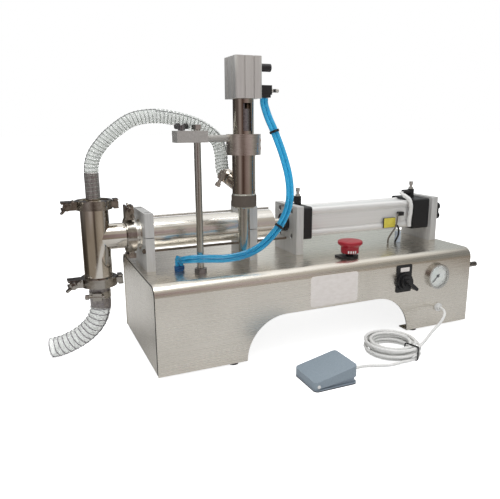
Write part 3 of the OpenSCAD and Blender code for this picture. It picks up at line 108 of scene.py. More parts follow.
def photo_camera():
    yaw, pitch, roll = radians(23.449), radians(13.081), radians(-0.348)
    focal_px, image_width, sensor = 529.43, 500, 36
    ahead = Vector((sin(yaw) * cos(pitch), cos(yaw) * cos(pitch), -sin(pitch)))
    level = Vector((cos(yaw), -sin(yaw), 0))
    up = level.cross(ahead)
    side = cos(roll) * level + sin(roll) * up
    top = cos(roll) * up - sin(roll) * level
    lens = bpy.data.cameras.new("photo_camera")
    lens.sensor_fit = "HORIZONTAL"
    lens.sensor_width = sensor
    lens.lens = sensor * focal_px / image_width
    lens.clip_start = 0.05
    camera = placed("photo_camera", lens)
    turned = Matrix((side, top, -ahead)).transposed().to_4x4()
    camera.matrix_world = Matrix.Translation(bench(-150.375, -665.914, 341.093)) @ turned
    scene.camera = camera


photo_camera()


# Materials

def colour(text):
    """An sRGB hex value as linear RGBA."""
    channels = [int(text[i:i + 2], 16) / 255 for i in (1, 3, 5)]
    return [c / 12.92 if c <= 0.04045 else ((c + 0.055) / 1.055) ** 2.4 for c in channels] + [1]


def add(tree, kind, inputs=None, **settings):
    """Adds a shader node with its settings; an input is a value, or a socket to link."""
    made = tree.nodes.new("ShaderNode" + kind)
    for name, value in settings.items():
        setattr(made, name, value)
    for name, value in (inputs or {}).items():
        if isinstance(value, bpy.types.NodeSocket):
            tree.links.new(value, made.inputs[name])
        else:
            made.inputs[name].default_value = value
    return made


def finish(name, light, dark, grain, rough, bump=0.0, spots=None, below=None, **sockets):
    """A surface whose colour, gloss and relief follow one grain, given as its period in millimetres
    along each axis. Spots are a second, larger unevenness: its period and its darker colour. Below
    is a height over the table in millimetres, and the colour under it."""
    material = bpy.data.materials.new(name)
    tree = bare_tree(material)
    grain_low, grain_high = 0.3, 0.7
    place = add(tree, "TexCoord").outputs["Object"]
    stretched = add(tree, "Mapping", {"Vector": place, "Scale": [1 / (p * MM) for p in grain]})
    noise = add(tree, "TexNoise", {"Vector": stretched.outputs[0], "Scale": 1.0, "Detail": 3.0})
    ramp = add(tree, "ValToRGB", {"Fac": noise.outputs["Fac"]})
    first, last = ramp.color_ramp.elements
    first.position = grain_low
    last.position = grain_high
    first.color = colour(dark)
    last.color = colour(light)
    base = ramp.outputs["Color"]
    if spots:
        period, shade = spots
        cloud = add(tree, "TexNoise", {"Vector": place, "Scale": 1 / (period * MM), "Detail": 2.0})
        weight = add(tree, "MapRange", {"Value": cloud.outputs["Fac"], "From Min": 0.45, "From Max": 0.75,
            "To Max": 0.6})
        mixed = add(tree, "MixRGB", {"Fac": weight.outputs[0], "Color1": base, "Color2": colour(shade)})
        base = mixed.outputs[0]
    if below:
        level, shade = below
        height = add(tree, "SeparateXYZ", {0: place}).outputs["Z"]
        low = add(tree, "Math", {0: height, 1: level * MM}, operation="LESS_THAN")
        base = add(tree, "MixRGB", {"Fac": low.outputs[0], "Color1": base,
            "Color2": colour(shade)}).outputs[0]
    gloss = add(tree, "MapRange", {"Value": noise.outputs["Fac"], "From Min": grain_low,
        "From Max": grain_high, "To Min": rough[0], "To Max": rough[1]})
    shader = add(tree, "BsdfPrincipled", {"Base Color": base, "Roughness": gloss.outputs[0]})
    for socket, value in sockets.items():
        shader.inputs[socket.replace("_", " ")].default_value = value
    if bump:
        relief = add(tree, "Bump", {"Height": noise.outputs["Fac"], "Strength": 0.6, "Distance": bump * MM})
        tree.links.new(relief.outputs[0], shader.inputs["Normal"])
    end = add(tree, "OutputMaterial", {"Surface": shader.outputs[0]})
    end.is_active_output = True
    return material


# Brushed stainless sheet: long fine lines along the cabinet, drawn coarser than the real 0.2 mm so they show
brushed_sheet = finish("brushed_stainless_sheet", "#F0EBE2", "#E9E4DA", (160, 1.2, 1.2), (0.25, 0.3),
    0.0008, spots=(110, "#DAD5CB"), Metallic=1.0)
# Polished stainless pipe: nearly a mirror, with faint polishing haze
polished_pipe = finish("polished_stainless_pipe", "#EAE5DD", "#DBD5CB", (14, 14, 40), (0.06, 0.12),
    Metallic=1.0)
# Drawn stainless tube: satin, with fine lines along its length, so it mirrors only soft bands
satin_tube = finish("satin_drawn_stainless_tube", "#EFECE6", "#E2DED6", (90, 1.4, 1.4), (0.2, 0.28), 0.002,
    Metallic=1.0)
# Ground stainless rod: satin, greyer than the tube, with its fine lines upright
satin_rod = finish("satin_ground_stainless_rod", "#D2D3CD", "#C1C2BB", (1.4, 1.4, 60), (0.2, 0.28), 0.002,
    Metallic=1.0)
# Drawn steel tie rod: bright, with painted shade: the rod that lies under the cylinder's axis is coloured
# browner and darker, for the shade under the cylinder
tie_rod_painted_shade = finish("drawn_steel_rod", "#CFCCC8", "#BDBAB6", (60, 2, 2), (0.2, 0.3),
    below=(AXIS_Z, "#6F655C"), Metallic=0.9)
# Cast stainless clamp: ground after casting, duller and darker than the pipe
cast_clamp = finish("cast_stainless_clamp", "#B9B4AD", "#A29D95", (5, 5, 5), (0.15, 0.25), 0.008,
    Metallic=1.0)
# Turned nozzle body: polished stainless, with painted reflection: its colour is darker and browner than the
# pipe's, for the dark reflections it shows
body_painted_reflection = finish("turned_stainless_body", "#C2B8AC", "#B1A79B", (14, 14, 40), (0.1, 0.16), Metallic=1.0)
# Bead-blasted aluminium arm: an even matt grey
blasted_arm = finish("blasted_aluminium_arm", "#C9C8C5", "#BAB9B6", (2, 2, 2), (0.4, 0.5), 0.004,
    Metallic=0.6)
# Anodised actuator: a paler satin grey, with faint upright extrusion lines
actuator_grey = finish("anodised_aluminium_actuator", "#E6E6E4", "#DADAD8", (2, 2, 60), (0.34, 0.42), 0.003,
    Metallic=0.75)
# Turned clamp ring: satin, with close cutter marks round it
clamp_ring = finish("turned_stainless_ring", "#E0D8D0", "#CEC6BD", (14, 14, 1.5), (0.26, 0.36), 0.004,
    Metallic=1.0)
# Nickel-plated screw: small, bright and smooth
bright_screw = finish("nickel_plated_screw", "#DEDCD8", "#CFCDC8", (2, 2, 2), (0.2, 0.3), Metallic=0.8)
# Knurled stainless grip: matt, because its teeth break up the light
knurled_grip = finish("knurled_stainless_grip", "#7C746C", "#6A625A", (1.2, 1.2, 1.2), (0.5, 0.6), 0.02,
    Metallic=0.6)
# Milled aluminium plate: dull, with close cutter marks
milled_plate = finish("milled_aluminium_plate", "#D6D6D5", "#C9C9C7", (2.2, 2.2, 30), (0.42, 0.55), 0.006,
    Metallic=0.3)
# Extruded anodised barrel: even satin, with drawing lines along its length
anodised_barrel = finish("anodised_aluminium_barrel", "#F4F4F3", "#EDEDEC", (150, 1.6, 1.6), (0.28, 0.36),
    0.001, Metallic=0.3)
# Zinc-plated screws and nuts: a cool grey, slightly cloudy
screw_steel = finish("zinc_plated_steel", "#A3A3A5", "#86868A", (3, 3, 3), (0.24, 0.36), Metallic=1.0)
# Black anodised end caps: matt, nearly without grain
black_cap = finish("black_anodised_aluminium", "#212124", "#19191B", (3, 3, 3), (0.42, 0.52), 0.004)
# Moulded black fittings and knobs: a little glossier than the caps
black_plastic = finish("moulded_black_abs", "#262628", "#1D1D1F", (2, 2, 2), (0.36, 0.46), 0.006)
# Red mushroom button: glossy moulded plastic
red_plastic = finish("moulded_red_abs", "#AC2030", "#9C1B2A", (4, 4, 4), (0.28, 0.36), 0.003)
# Blue polyurethane air tube: clear enough to glow along its middle
blue_tube = finish("blue_polyurethane_tube", "#46BEEA", "#30ACDE", (6, 6, 6), (0.06, 0.12),
    Transmission_Weight=0.52, IOR=1.3, Coat_Weight=0.8)
# Moulded blue tube port: opaque and blue; its darker blue than the tubes' is painted shade, for the shaded
# lower ends of the tubes
port_blue_painted_shade = finish("moulded_blue_port", "#1F5C93", "#194E80", (3, 3, 3), (0.3, 0.4))
# Clear vinyl hose: milky, with a soft gloss
clear_hose = finish("clear_vinyl_hose", "#FBFCFB", "#F4F6F4", (9, 9, 9), (0.14, 0.22),
    Transmission_Weight=0.6, IOR=1.1)
# Steel wire wound into the outlet hose: pale, seen through the vinyl
hose_wire = finish("spring_steel_wire", "#A3ABA4", "#949D95", (2, 2, 2), (0.3, 0.4), Metallic=0.3)
# Coated wire of the suction hose: thicker and darker
suction_wire_grey = finish("coated_steel_wire", "#88808A", "#766E78", (2, 2, 2), (0.3, 0.4), Metallic=0.3)
# Printed line along a hose
hose_line = finish("dark_marker_line", "#4B4550", "#3C3842", (3, 3, 3), (0.4, 0.5))
# Hose stretched over its metal barb: the steel shows dark through the clear wall
hose_on_barb = finish("vinyl_hose_over_steel", "#A7A19F", "#827C7A", (2.2, 2.2, 3.5), (0.16, 0.26),
    Metallic=0.5)
# Silicone gasket: off-white and dull
gasket = finish("white_silicone_gasket", "#D9D5CB", "#CAC6BB", (3, 3, 3), (0.45, 0.55))
# Vinyl lead of a sensor: plain grey
grey_lead = finish("grey_vinyl_lead", "#6E685F", "#605A52", (3, 3, 3), (0.4, 0.5))
# Black rubber: dull, with a fine grain
black_rubber = finish("black_rubber", "#242424", "#1A1A1A", (1.5, 1.5, 1.5), (0.6, 0.75), 0.02)
# Pressed gauge case: bright, softly uneven
gauge_steel = finish("pressed_gauge_steel", "#CFCDC9", "#BDBBB7", (5, 5, 5), (0.14, 0.22), Metallic=1.0)
# Window glass: clear and smooth
clear_glass = finish("clear_window_glass", "#FFFFFF", "#F6FAFA", (20, 20, 20), (0.02, 0.05),
    Transmission_Weight=1.0, IOR=1.45)
# Painted needle and dial marks: flat black
needle_black = finish("black_painted_needle", "#2A2A2C", "#202022", (1, 1, 1), (0.4, 0.5))
# Plated brass fittings: greyer than steel
brass = finish("nickel_plated_brass", "#9A9490", "#7F7A76", (3, 3, 3), (0.22, 0.32), Metallic=1.0)
# White cord: soft vinyl with a slight moulded texture
white_cord = finish("white_vinyl_cord", "#F6F6F4", "#EAEAE8", (3, 3, 3), (0.34, 0.44), 0.01)
# Moulded white nylon: smoother than the cord
white_plastic = finish("moulded_white_nylon", "#ECECEA", "#DEDEDC", (3, 3, 3), (0.3, 0.4), 0.005)
# Foot switch: blue-grey moulded cover with a spark-eroded texture
pedal_grey = finish("textured_grey_abs", "#98A6B1", "#8997A2", (1.4, 1.4, 1.4), (0.42, 0.54), 0.03)
# Dark moulded parts of the foot switch
pedal_dark = finish("moulded_dark_abs", "#454B52", "#393F46", (2, 2, 2), (0.45, 0.55), 0.01)
# Foot switch tray: as the cover, with a dark rubber sole under it
pedal_tray = finish("textured_grey_abs_tray", "#98A4B0", "#8C98A4", (1.4, 1.4, 1.4), (0.42, 0.54), 0.03,
    below=(1.6, "#41474E"))
# Bare paper label: warm white, without gloss
bare_label = finish("bare_paper_label", "#F5EFEB", "#ECE5E0", (9, 4, 4), (0.5, 0.6), 0.004)
# Bare yellow sticker: satin
bare_sticker = finish("bare_yellow_sticker", "#E8DA5C", "#DACB48", (6, 6, 6), (0.4, 0.5))
# Enamelled dial: white and smooth
dial_white = finish("white_enamel_dial", "#F0F0EC", "#E6E6E2", (8, 8, 8), (0.3, 0.4))
# Pale blue nylon clip: translucent in life, so pale
pale_plastic = finish("pale_blue_nylon", "#C3CEDA", "#B2BECC", (3, 3, 3), (0.35, 0.45))

# The finish of each material slot, and of the nodes whose own differs from it
finishes = {"stainless_sheet": brushed_sheet, "polished_steel": polished_pipe,
    "milled_aluminium": milled_plate, "screw_steel": screw_steel, "black_plastic": black_plastic,
    "red_plastic": red_plastic, "blue_tube": blue_tube, "clear_hose": clear_hose, "gasket": gasket,
    "black_rubber": black_rubber, "gauge_steel": gauge_steel, "clear_glass": clear_glass,
    "needle_black": needle_black, "brass": brass, "white_cord": white_cord, "pedal_grey": pedal_grey,
    "pedal_dark": pedal_dark}
own_finish = {"material_cylinder": satin_tube, "stand_post": satin_rod, "nozzle_tip": satin_rod,
    "tie_rods": tie_rod_painted_shade, "pipe_clamps": cast_clamp, "wing_nut_top": cast_clamp,
    "wing_nut_side": cast_clamp, "wing_nut_bottom": cast_clamp, "hose_clamps": cast_clamp,
    "nozzle_body": body_painted_reflection, "nozzle_clamps": clamp_ring, "nozzle_arm": blasted_arm,
    "nozzle_cylinder": actuator_grey, "flow_screw_front": bright_screw, "flow_screw_rear": bright_screw,
    "pedal_base": pedal_tray, "air_barrel": anodised_barrel, "cylinder_caps": black_cap,
    "tube_port": port_blue_painted_shade, "cord_grommet": white_plastic}
for part in frame["record"]["subparts"]:
    node = nodes[part["node"]]
    node.data.materials.clear()
    node.data.materials.append(own_finish.get(part["node"], finishes[part["material_slot"]]))

# Broken edges of the machined and moulded pieces, which catch the light: their width in millimetres
broken_edges = {"middle_plate": 0.8, "rear_plate": 0.8, "saddles": 0.8, "cylinder_caps": 1,
    "nozzle_cylinder": 0.9, "nozzle_arm": 0.7, "treadle": 1.4, "pedal_base": 0.8}
for name, width in broken_edges.items():
    joined = nodes[name].modifiers.new("joined_faces", "WELD")
    joined.merge_threshold = 1e-5
    edge = nodes[name].modifiers.new("broken_edge", "BEVEL")
    edge.width = width * MM
    edge.segments = 2
    edge.limit_method = "ANGLE"
    edge.angle_limit = radians(50)


# Paths of hoses, tubes and cords, in bench millimetres as in the part's source

def smooth(points, steps):
    """A spline through the points, with so many steps between two of them."""
    p = [Vector(q) for q in points]
    out = []
    for i in range(len(p) - 1):
        a, b, c, d = p[max(i - 1, 0)], p[i], p[i + 1], p[min(i + 2, len(p) - 1)]
        for k in range(steps):
            t = k / steps
            out.append(0.5 * (2 * b + (c - a) * t + (2 * a - 5 * b + 4 * c - d) * t ** 2
                + (3 * b - a - 3 * c + d) * t ** 3))
    return out + [p[-1]]


def path_length(path):
    """The length along a path."""
    return sum((b - a).length for a, b in zip(path, path[1:]))


def even(path, count):
    """The path at so many equal steps."""
    step = path_length(path) / count
    out, along, wanted = [path[0]], 0.0, step
    for a, b in zip(path, path[1:]):
        span = (b - a).length
        while len(out) < count and wanted <= along + span:
            out.append(a.lerp(b, (wanted - along) / span))
            wanted += step
        along += span
    return out + [path[-1]]


def tangents(path):
    """The direction of a path at each of its points."""
    last = len(path) - 1
    return [(path[min(i + 1, last)] - path[max(i - 1, 0)]).normalized() for i in range(last + 1)]


def carried_sides(path, first):
    """A side direction at each point, carried along the path without twist."""
    sides, side = [], Vector(first)
    for t in tangents(path):
        side = (side - t * side.dot(t)).normalized()
        sides.append(side)
    return sides


def on_skin(path, radius, angles, first):
    """The path moved out to a radius, at an angle for each point round the carried side."""
    out = []
    for p, t, s, a in zip(path, tangents(path), carried_sides(path, first), angles):
        out.append(p + radius * (cos(a) * s + sin(a) * t.cross(s)))
    return out


def above_top(points):
    """Points given by their height over the cabinet's top."""
    return [(x, y, z + TOP_Z) for x, y, z in points]


def inlet_point(d):
    """A point so far out along the nozzle's inlet, which rises and points back."""
    rise, turn = radians(28), radians(118)
    return Vector((NOZZLE_X, NOZZLE_Y, 252)) + d * Vector((cos(rise) * cos(turn), cos(rise) * sin(turn),
        sin(rise)))


outlet_route = [inlet_point(28.6 + d) for d in (0, 6, 12, 16)] + above_top([(131.5, 87.5, 147),
    (131.5, 90, 158), (131, 91, 170), (126, 92.5, 187), (112.5, 94, 200), (95, 96, 210), (69, 99, 218),
    (38, 103, 222.5), (4, 107.5, 217.5), (-25, 114, 198), (-45, 117.5, 176.5),
    (-53, 119.3, 160)]) + [(TEE_X, AXIS_Y, z) for z in (278, 262, 242.1)]
suction_route = [(TEE_X, AXIS_Y, z) for z in (109.9, 95, 80)] + [(-58.5, 121, 66), (-65.5, 123.5, 52.5),
    (-76, 127.5, 40.5), (-89, 131.5, 30.5), (-104, 136, 22.5), (-118, 140.5, 17.2), (-129, 144, 15.3)]
twin_route = [(182, 46, 380.7), (182, 46, 372)] + above_top([(185, 38, 219), (191, 32, 201),
    (200, 24, 171), (207, 18.5, 141), (209, 15.5, 117), (207, 14, 98), (201.5, 14, 82), (191, 15, 64),
    (171, 18, 42), (152, 21, 30), (133, 26, 23.5), (112, 33, 20.5), (94, 36, 21.5), (78, 38.5, 22.5),
    (66, 44, 22), (59, 54, 19.5), (55.6, 65, 16.5)]) + [(55, 70.5, 153), (55, 70.5, 141.3)]
run_route = [(GROMMET_X + x, y, z) for x, y, z in [(0, -3, 37), (0, -6.5, 37), (-0.6, -12.4, 36.7),
    (-2.4, -18.1, 35.8), (-5.4, -23.1, 34.4), (-9.5, -27.3, 32.4), (-15.5, -31.4, 29.6), (-23, -35.4, 26.4),
    (-32.5, -39.8, 23.4), (-44, -45.1, 20.9), (-57, -52, 19.4), (-72, -62, 18.9), (-88, -72.8, 18.9),
    (-102.8, -82.2, 18.9), (-110.6, -86.7, 18.9)]]
tail_route = [(GROMMET_X + x, y, z) for x, y, z in [(-141.6, -95, 3.3), (-150, -95, 3.3),
    (-162, -95.3, 2.9), (-174, -93.8, 2.6), (-185.5, -90, 2.6), (-196.5, -87.1, 3.2),
    (-207.5, -86.8, 4.8), (-219.5, -88.6, 6.5), (-231, -90, 7), (-240.5, -90, 7), (-250.5, -90, 7)]]


def cord_coil():
    """The coil's centreline: it spirals in and out, layer on layer, and climbs where it turns back."""
    centre = Vector((GROMMET_X - 136.5, -52, 3.3))
    outer, inner, layers, rise = 43, 27, 4, 5.2
    turns = 8 + 30 / 360
    half = 0.25 * layers / turns
    steps = round(24 * turns)
    path = []
    for i in range(steps + 1):
        u = i * turns / steps
        v = u / turns * layers
        layer = min(floor(v), layers - 1)
        share = v - layer
        radius = outer - (outer - inner) * (share if layer % 2 == 0 else 1 - share)
        height = 0
        for k in range(1, layers):
            f = max(0, min(1, (v - k + half) / (2 * half)))
            height += rise * f * f * (3 - 2 * f)
        turn = -pi / 2 + 2 * pi * u
        path.append(centre + Vector((radius * cos(turn), radius * sin(turn), height)))
    return path


def line(name, path, radius, sides=12, swell=None, caps=True):
    """A curve along bench points, with a round section."""
    curve = bpy.data.curves.new(name, "CURVE")
    curve.dimensions = "3D"
    curve.bevel_depth = radius * MM
    curve.bevel_resolution = sides // 2 - 2
    curve.use_fill_caps = caps
    spline = curve.splines.new("POLY")
    spline.points.add(len(path) - 1)
    for i, p in enumerate(path):
        spline.points[i].co = (*bench(*p), 1)
        spline.points[i].radius = swell[i] if swell else 1
    return placed(name, curve)


def tube(name, path, radius, sides=12, swell=None, caps=True):
    """A mesh tube along bench points."""
    made = line(name + "_line", path, radius, sides, swell, caps)
    bpy.context.view_layer.update()
    mesh = bpy.data.meshes.new_from_object(made.evaluated_get(bpy.context.evaluated_depsgraph_get()))
    mesh.name = name
    bpy.data.objects.remove(made)
    mesh.shade_smooth()
    return placed(name, mesh)


def wear(piece, material, body=None):
    """Gives a piece its material and slot, and the body that it rides on."""
    piece.data.materials.append(material)
    if body:
        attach(piece, body)
    return piece


def solid(name, bm, material, body):
    """Makes a piece of a bmesh in the frame's metres."""
    bmesh.ops.recalc_face_normals(bm, faces=bm.faces)
    return wear(meshed(name, bm), material, body)


def rib_swell(path, depth):
    """Radius factors of a ribbed hose: four steps to a rib."""
    return [1 - depth * (0.5 - 0.5 * cos(2 * pi * i / 4)) for i in range(len(path))]


def ribbed(route, pitch):
    """A hose's path, at four steps to a rib."""
    fine = smooth(route, 8)
    return even(fine, 4 * round(path_length(fine) / pitch))


def two_walled(piece, wall):
    """Gives a skin its wall, on the inside."""
    shell = piece.modifiers.new("wall", "SOLIDIFY")
    shell.thickness = wall * MM
    shell.offset = -1


def coiled_wire(path, radius, pitch):
    """A wire's path, wound round a hose."""
    per_turn = 14
    count = round(path_length(path) / pitch * per_turn)
    return on_skin(even(path, count), radius, [2 * pi * i / per_turn for i in range(count + 1)], TO_FRONT)


# Foot switch cord, from the white entry on the front to the foot switch

cord_path = smooth(run_route, 3)[:-1] + cord_coil()[::-1] + smooth(tail_route, 3)
foot_cord = wear(line("foot_switch_cord", cord_path, 2.3, 12), white_cord, "base")
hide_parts("cord_run", "cord_coil", "cord_tail")

# Suction hose, under the tee, with a bare cut end

suction_path = ribbed(suction_route, SUCTION_PITCH)
suction = tube("suction_hose_skin", suction_path, SUCTION_R, 28, rib_swell(suction_path, RIB_DEPTH), False)
two_walled(suction, 1.6)
wear(suction, clear_hose, "base")
wear(tube("suction_hose_wire", coiled_wire(suction_path, SUCTION_R, SUCTION_PITCH), 0.6, 6),
    suction_wire_grey, "base")
suction_line = on_skin(suction_path, SUCTION_R - 0.1, [-0.75] * len(suction_path), TO_FRONT)
wear(tube("suction_hose_mark", suction_line, 0.6, 6), hose_line, "base")
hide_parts("suction_hose")


def near_end(path, end, reach):
    """The part of a path within reach of one of its ends, in millimetres."""
    return [p for p in path if (p - path[end]).length <= reach]


collar_path = near_end(suction_path, 0, 32)
suction_collar = tube("suction_hose_on_barb", collar_path, SUCTION_R + 0.3, 28,
    rib_swell(collar_path, BARB_RIB_DEPTH))
wear(suction_collar, hose_on_barb, "base")


# Outlet hose, which in the machine bends as the stand turns and the arm slides: here cut at the top of its
# arch

def bends(piece):
    """Bakes a piece's placement into its mesh."""
    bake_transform(piece)


outlet_path = ribbed(outlet_route, OUTLET_PITCH)
crown = max(range(len(outlet_path)), key=lambda i: outlet_path[i][2]) // 4 * 4
outlet_runs = [("nozzle", outlet_path[:crown + 1], ("arm", "post")),
    ("tee", outlet_path[crown:], ("post", "base"))]
for where, path, bodies in outlet_runs:
    skin = tube("outlet_hose_skin_" + where, path, OUTLET_R, 24, rib_swell(path, RIB_DEPTH), False)
    two_walled(skin, 1.4)
    wear(skin, clear_hose)
    wire_path = coiled_wire(path, OUTLET_R, OUTLET_PITCH)
    wire = wear(tube("outlet_hose_wire_" + where, wire_path, 0.5, 6), hose_wire)
    mark_path = on_skin(path, OUTLET_R, [1.1] * len(path), TO_FRONT)
    mark = wear(tube("outlet_hose_mark_" + where, mark_path, 0.45, 6), hose_line)
    if where == "tee":
        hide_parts("outlet_hose")
        collar_path = near_end(path, -1, 37)
        swell = rib_swell(collar_path, BARB_RIB_DEPTH)
        collar = tube("outlet_hose_on_barb", collar_path, OUTLET_R + 0.3, 24, swell)
        wear(collar, hose_on_barb, "base")
    for piece in (skin, wire, mark):
        bends(piece)

# Air tubes from the nozzle's actuator to the port on the cabinet

twin_path = even(smooth(twin_route, 6), 120)
low_bend = min(range(len(twin_path)), key=lambda i: abs(twin_path[i][2] - 236))
twin_runs = [("nozzle", 0, low_bend, ("arm", "post")),
    ("cabinet", low_bend, len(twin_path) - 1, ("post", "base"))]
twin_sides = [t.cross(Vector(TO_FRONT)).normalized() for t in tangents(twin_path)]
for where, first, last, bodies in twin_runs:
    for side, off in (("left", -AIR_TUBE_OFF), ("right", AIR_TUBE_OFF)):
        path = [twin_path[i] + off * twin_sides[i] for i in range(first, last + 1)]
        run = wear(tube("air_tube_%s_%s" % (side, where), path, AIR_TUBE_R, 16), blue_tube)
        bends(run)
        if where == "cabinet" and side == "left":
            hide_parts("air_tubes")


def tube_tie(name, middle):
    """A narrow black tie round both air tubes, with its small head."""
    i = min(range(len(twin_path)), key=lambda k: (twin_path[k] - Vector(middle)).length)
    side, ahead = twin_sides[i], tangents(twin_path)[i]
    turn = Matrix((side, ahead.cross(side), ahead)).transposed().to_4x4()
    bm = bmesh.new()
    inside = (AIR_TUBE_R + 0.5) * MM
    bmesh.ops.create_cone(bm, cap_ends=False, segments=32, radius1=inside, radius2=inside, depth=3.2 * MM)
    for v in bm.verts:
        v.co.x += AIR_TUBE_OFF * MM if v.co.x > 1e-6 else -AIR_TUBE_OFF * MM if v.co.x < -1e-6 else 0
    bmesh.ops.solidify(bm, geom=bm.faces[:], thickness=-0.8 * MM)
    head = bmesh.ops.create_cube(bm, size=1)["verts"]
    bmesh.ops.scale(bm, vec=Vector((4, 3, 3.6)) * MM, verts=head)
    bmesh.ops.translate(bm, vec=Vector((1, -5, 0)) * MM, verts=head)
    bmesh.ops.transform(bm, matrix=Matrix.Translation(bench(*twin_path[i])) @ turn, verts=bm.verts)
    tie = solid(name, bm, black_plastic, None)
    bends(tie)


tube_tie("air_tube_tie_upper", twin_route[3])
tube_tie("air_tube_tie_lower", twin_route[9])


# Springs of the valves and of the treadle, pressed together by what they push back

def return_spring(name, place, high, radius, turns):
    """A wire spring over its lower end, wound up to its seat's height."""
    x, y, z = place
    wire, around = 0.6, 16
    path = [Vector((x + radius * cos(2 * pi * i / around), y + radius * sin(2 * pi * i / around),
        z + wire + (high - 2 * wire) * i / (around * turns))) for i in range(around * turns + 1)]
    spring = wear(tube(name, path, wire, 8), screw_steel, "base")
    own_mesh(spring)
    return spring


inlet_spring = return_spring("inlet_valve_spring", (TEE_X, AXIS_Y, 138.4), 17.5, 7.4, 6)
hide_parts("return_springs")
return_spring("outlet_valve_spring", (TEE_X, AXIS_Y, 216.4), 7.5, 7.4, 3)
return_spring("treadle_spring", (229, -90, 3.1), 15.1, 3.9, 6)


# Details on the cabinet and the cylinders

def box_verts(bm, size, middle):
    """Adds a box, in bench millimetres, and returns its corners."""
    corners = bmesh.ops.create_cube(bm, size=1)["verts"]
    bmesh.ops.scale(bm, vec=Vector(size) * MM, verts=corners)
    bmesh.ops.translate(bm, vec=bench(*middle), verts=corners)
    return corners


def rounded_box(bm, size, middle, radius):
    """Adds a box with all its edges rounded."""
    corners = box_verts(bm, size, middle)
    edges = list({e for v in corners for e in v.link_edges})
    bmesh.ops.bevel(bm, geom=edges, offset=radius * MM, offset_type="OFFSET", segments=3, profile=0.5,
        affect="EDGES", material=-1, clamp_overlap=True)


def plate_on_front(name, x, z, width, height, thick, corner, material, out=0):
    """A thin plate with round corners on the cabinet's front, or so far out from it."""
    bm = bmesh.new()
    corners = box_verts(bm, (width, thick, height), (x, -out - thick / 2, z))
    upright = [e for e in {e for v in corners for e in v.link_edges}
        if abs(e.verts[0].co.y - e.verts[1].co.y) > thick * MM / 2]
    bmesh.ops.bevel(bm, geom=upright, offset=corner * MM, offset_type="OFFSET", segments=5, profile=0.5,
        affect="EDGES", material=-1)
    return solid(name, bm, material, "base")


plate_on_front("bare_front_label", 280.5, 96, 85, 48, 0.4, 5, bare_label)


def disc(bm, radius, thick, turn, middle, segments):
    """Adds a disc with its axis turned from +Z by a matrix."""
    made = bmesh.ops.create_cone(bm, cap_ends=True, segments=segments, radius1=radius * MM,
        radius2=radius * MM, depth=thick * MM)["verts"]
    bmesh.ops.transform(bm, matrix=Matrix.Translation(bench(*middle)) @ turn, verts=made)


def add_tick(bm, size, out, place, turn):
    """Adds a small block, so far out from a place in the direction that a matrix turns +X to."""
    tick = bmesh.ops.create_cube(bm, size=1)["verts"]
    bmesh.ops.scale(bm, vec=Vector(size) * MM, verts=tick)
    bmesh.ops.translate(bm, vec=Vector((out, 0, 0)) * MM, verts=tick)
    bmesh.ops.transform(bm, matrix=Matrix.Translation(bench(*place)) @ turn, verts=tick)


def gauge_dial():
    """The gauge's white dial, with 30 plain divisions over 270 degrees and no numbers."""
    bm = bmesh.new()
    disc(bm, 18.6, 0.2, Matrix.Rotation(pi / 2, 4, "X"), (GAUGE_X, -1.12, GAUGE_Z), 64)
    solid("gauge_dial", bm, dial_white, "base")
    marks = bmesh.new()
    for i in range(31):
        turn = Matrix.Rotation(radians(225 - 9 * i), 4, "Y").inverted()
        size, out = ((3.4, 0.1, 0.7), 16) if i % 5 == 0 else ((1.8, 0.1, 0.4), 16.8)
        add_tick(marks, size, out, (GAUGE_X, -1.26, GAUGE_Z), turn)
    solid("gauge_dial_marks", marks, needle_black, "base")


gauge_dial()


def knurled_collar():
    """A sleeve with crossed knurling over the nozzle's collar."""
    around, high, radius, low, depth, tooth = 100, 8, 18.1, 227.2, 16.6, 0.4
    bm = bmesh.new()
    bmesh.ops.create_cone(bm, cap_ends=False, segments=around, radius1=radius * MM, radius2=radius * MM,
        depth=depth * MM)
    upright = [e for e in bm.edges if abs(e.verts[0].co.z - e.verts[1].co.z) > MM]
    bmesh.ops.subdivide_edges(bm, edges=upright, cuts=high - 1)
    for v in bm.verts:
        column = round(atan2(v.co.y, v.co.x) / (2 * pi) * around)
        row = round((v.co.z / (depth * MM) + 0.5) * high)
        if (column + row) % 2:
            v.co.xy *= 1 + tooth / radius
    bmesh.ops.translate(bm, vec=bench(NOZZLE_X, NOZZLE_Y, low + depth / 2), verts=bm.verts)
    sleeve = solid("nozzle_knurled_collar", bm, knurled_grip, "arm")
    two_walled(sleeve, 0.5)


def stop_ticks():
    """White release ticks round the foot of the emergency stop's skirt."""
    bm = bmesh.new()
    for group in range(3):
        for k in (-1.5, -0.5, 0.5, 1.5):
            turn = Matrix.Rotation(radians(-108 + 120 * group + 15 * k), 4, "Z")
            add_tick(bm, (0.5, 2.2, 4), 14.6, (ESTOP_X, ESTOP_Y, 144.1), turn)
    solid("emergency_stop_ticks", bm, white_plastic, "estop_mushroom")


def pedal_pin():
    """The bright end of the treadle's hinge pin."""
    bm = bmesh.new()
    bmesh.ops.create_uvsphere(bm, u_segments=20, v_segments=12, radius=2.5 * MM)
    bmesh.ops.scale(bm, vec=(1, 0.5, 1), verts=bm.verts)
    bmesh.ops.translate(bm, vec=bench(184.6, -119.1, 7.5), verts=bm.verts)
    pin = solid("treadle_pin_end", bm, white_plastic, "base")
    pin.data.shade_smooth()


def actuator_needle():
    """The bright needle screw of the actuator's lower fitting, with its knob."""
    bm = bmesh.new()
    sideways = Matrix.Rotation(pi / 2, 4, "Y")
    for radius, thick, x, segments in ((1.7, 10, 197.5, 20), (2.9, 3, 195, 24), (2.7, 4, 203.5, 24)):
        disc(bm, radius, thick, sideways, (x, NOZZLE_Y, 391), segments)
    solid("actuator_needle_screw", bm, bright_screw, "arm")


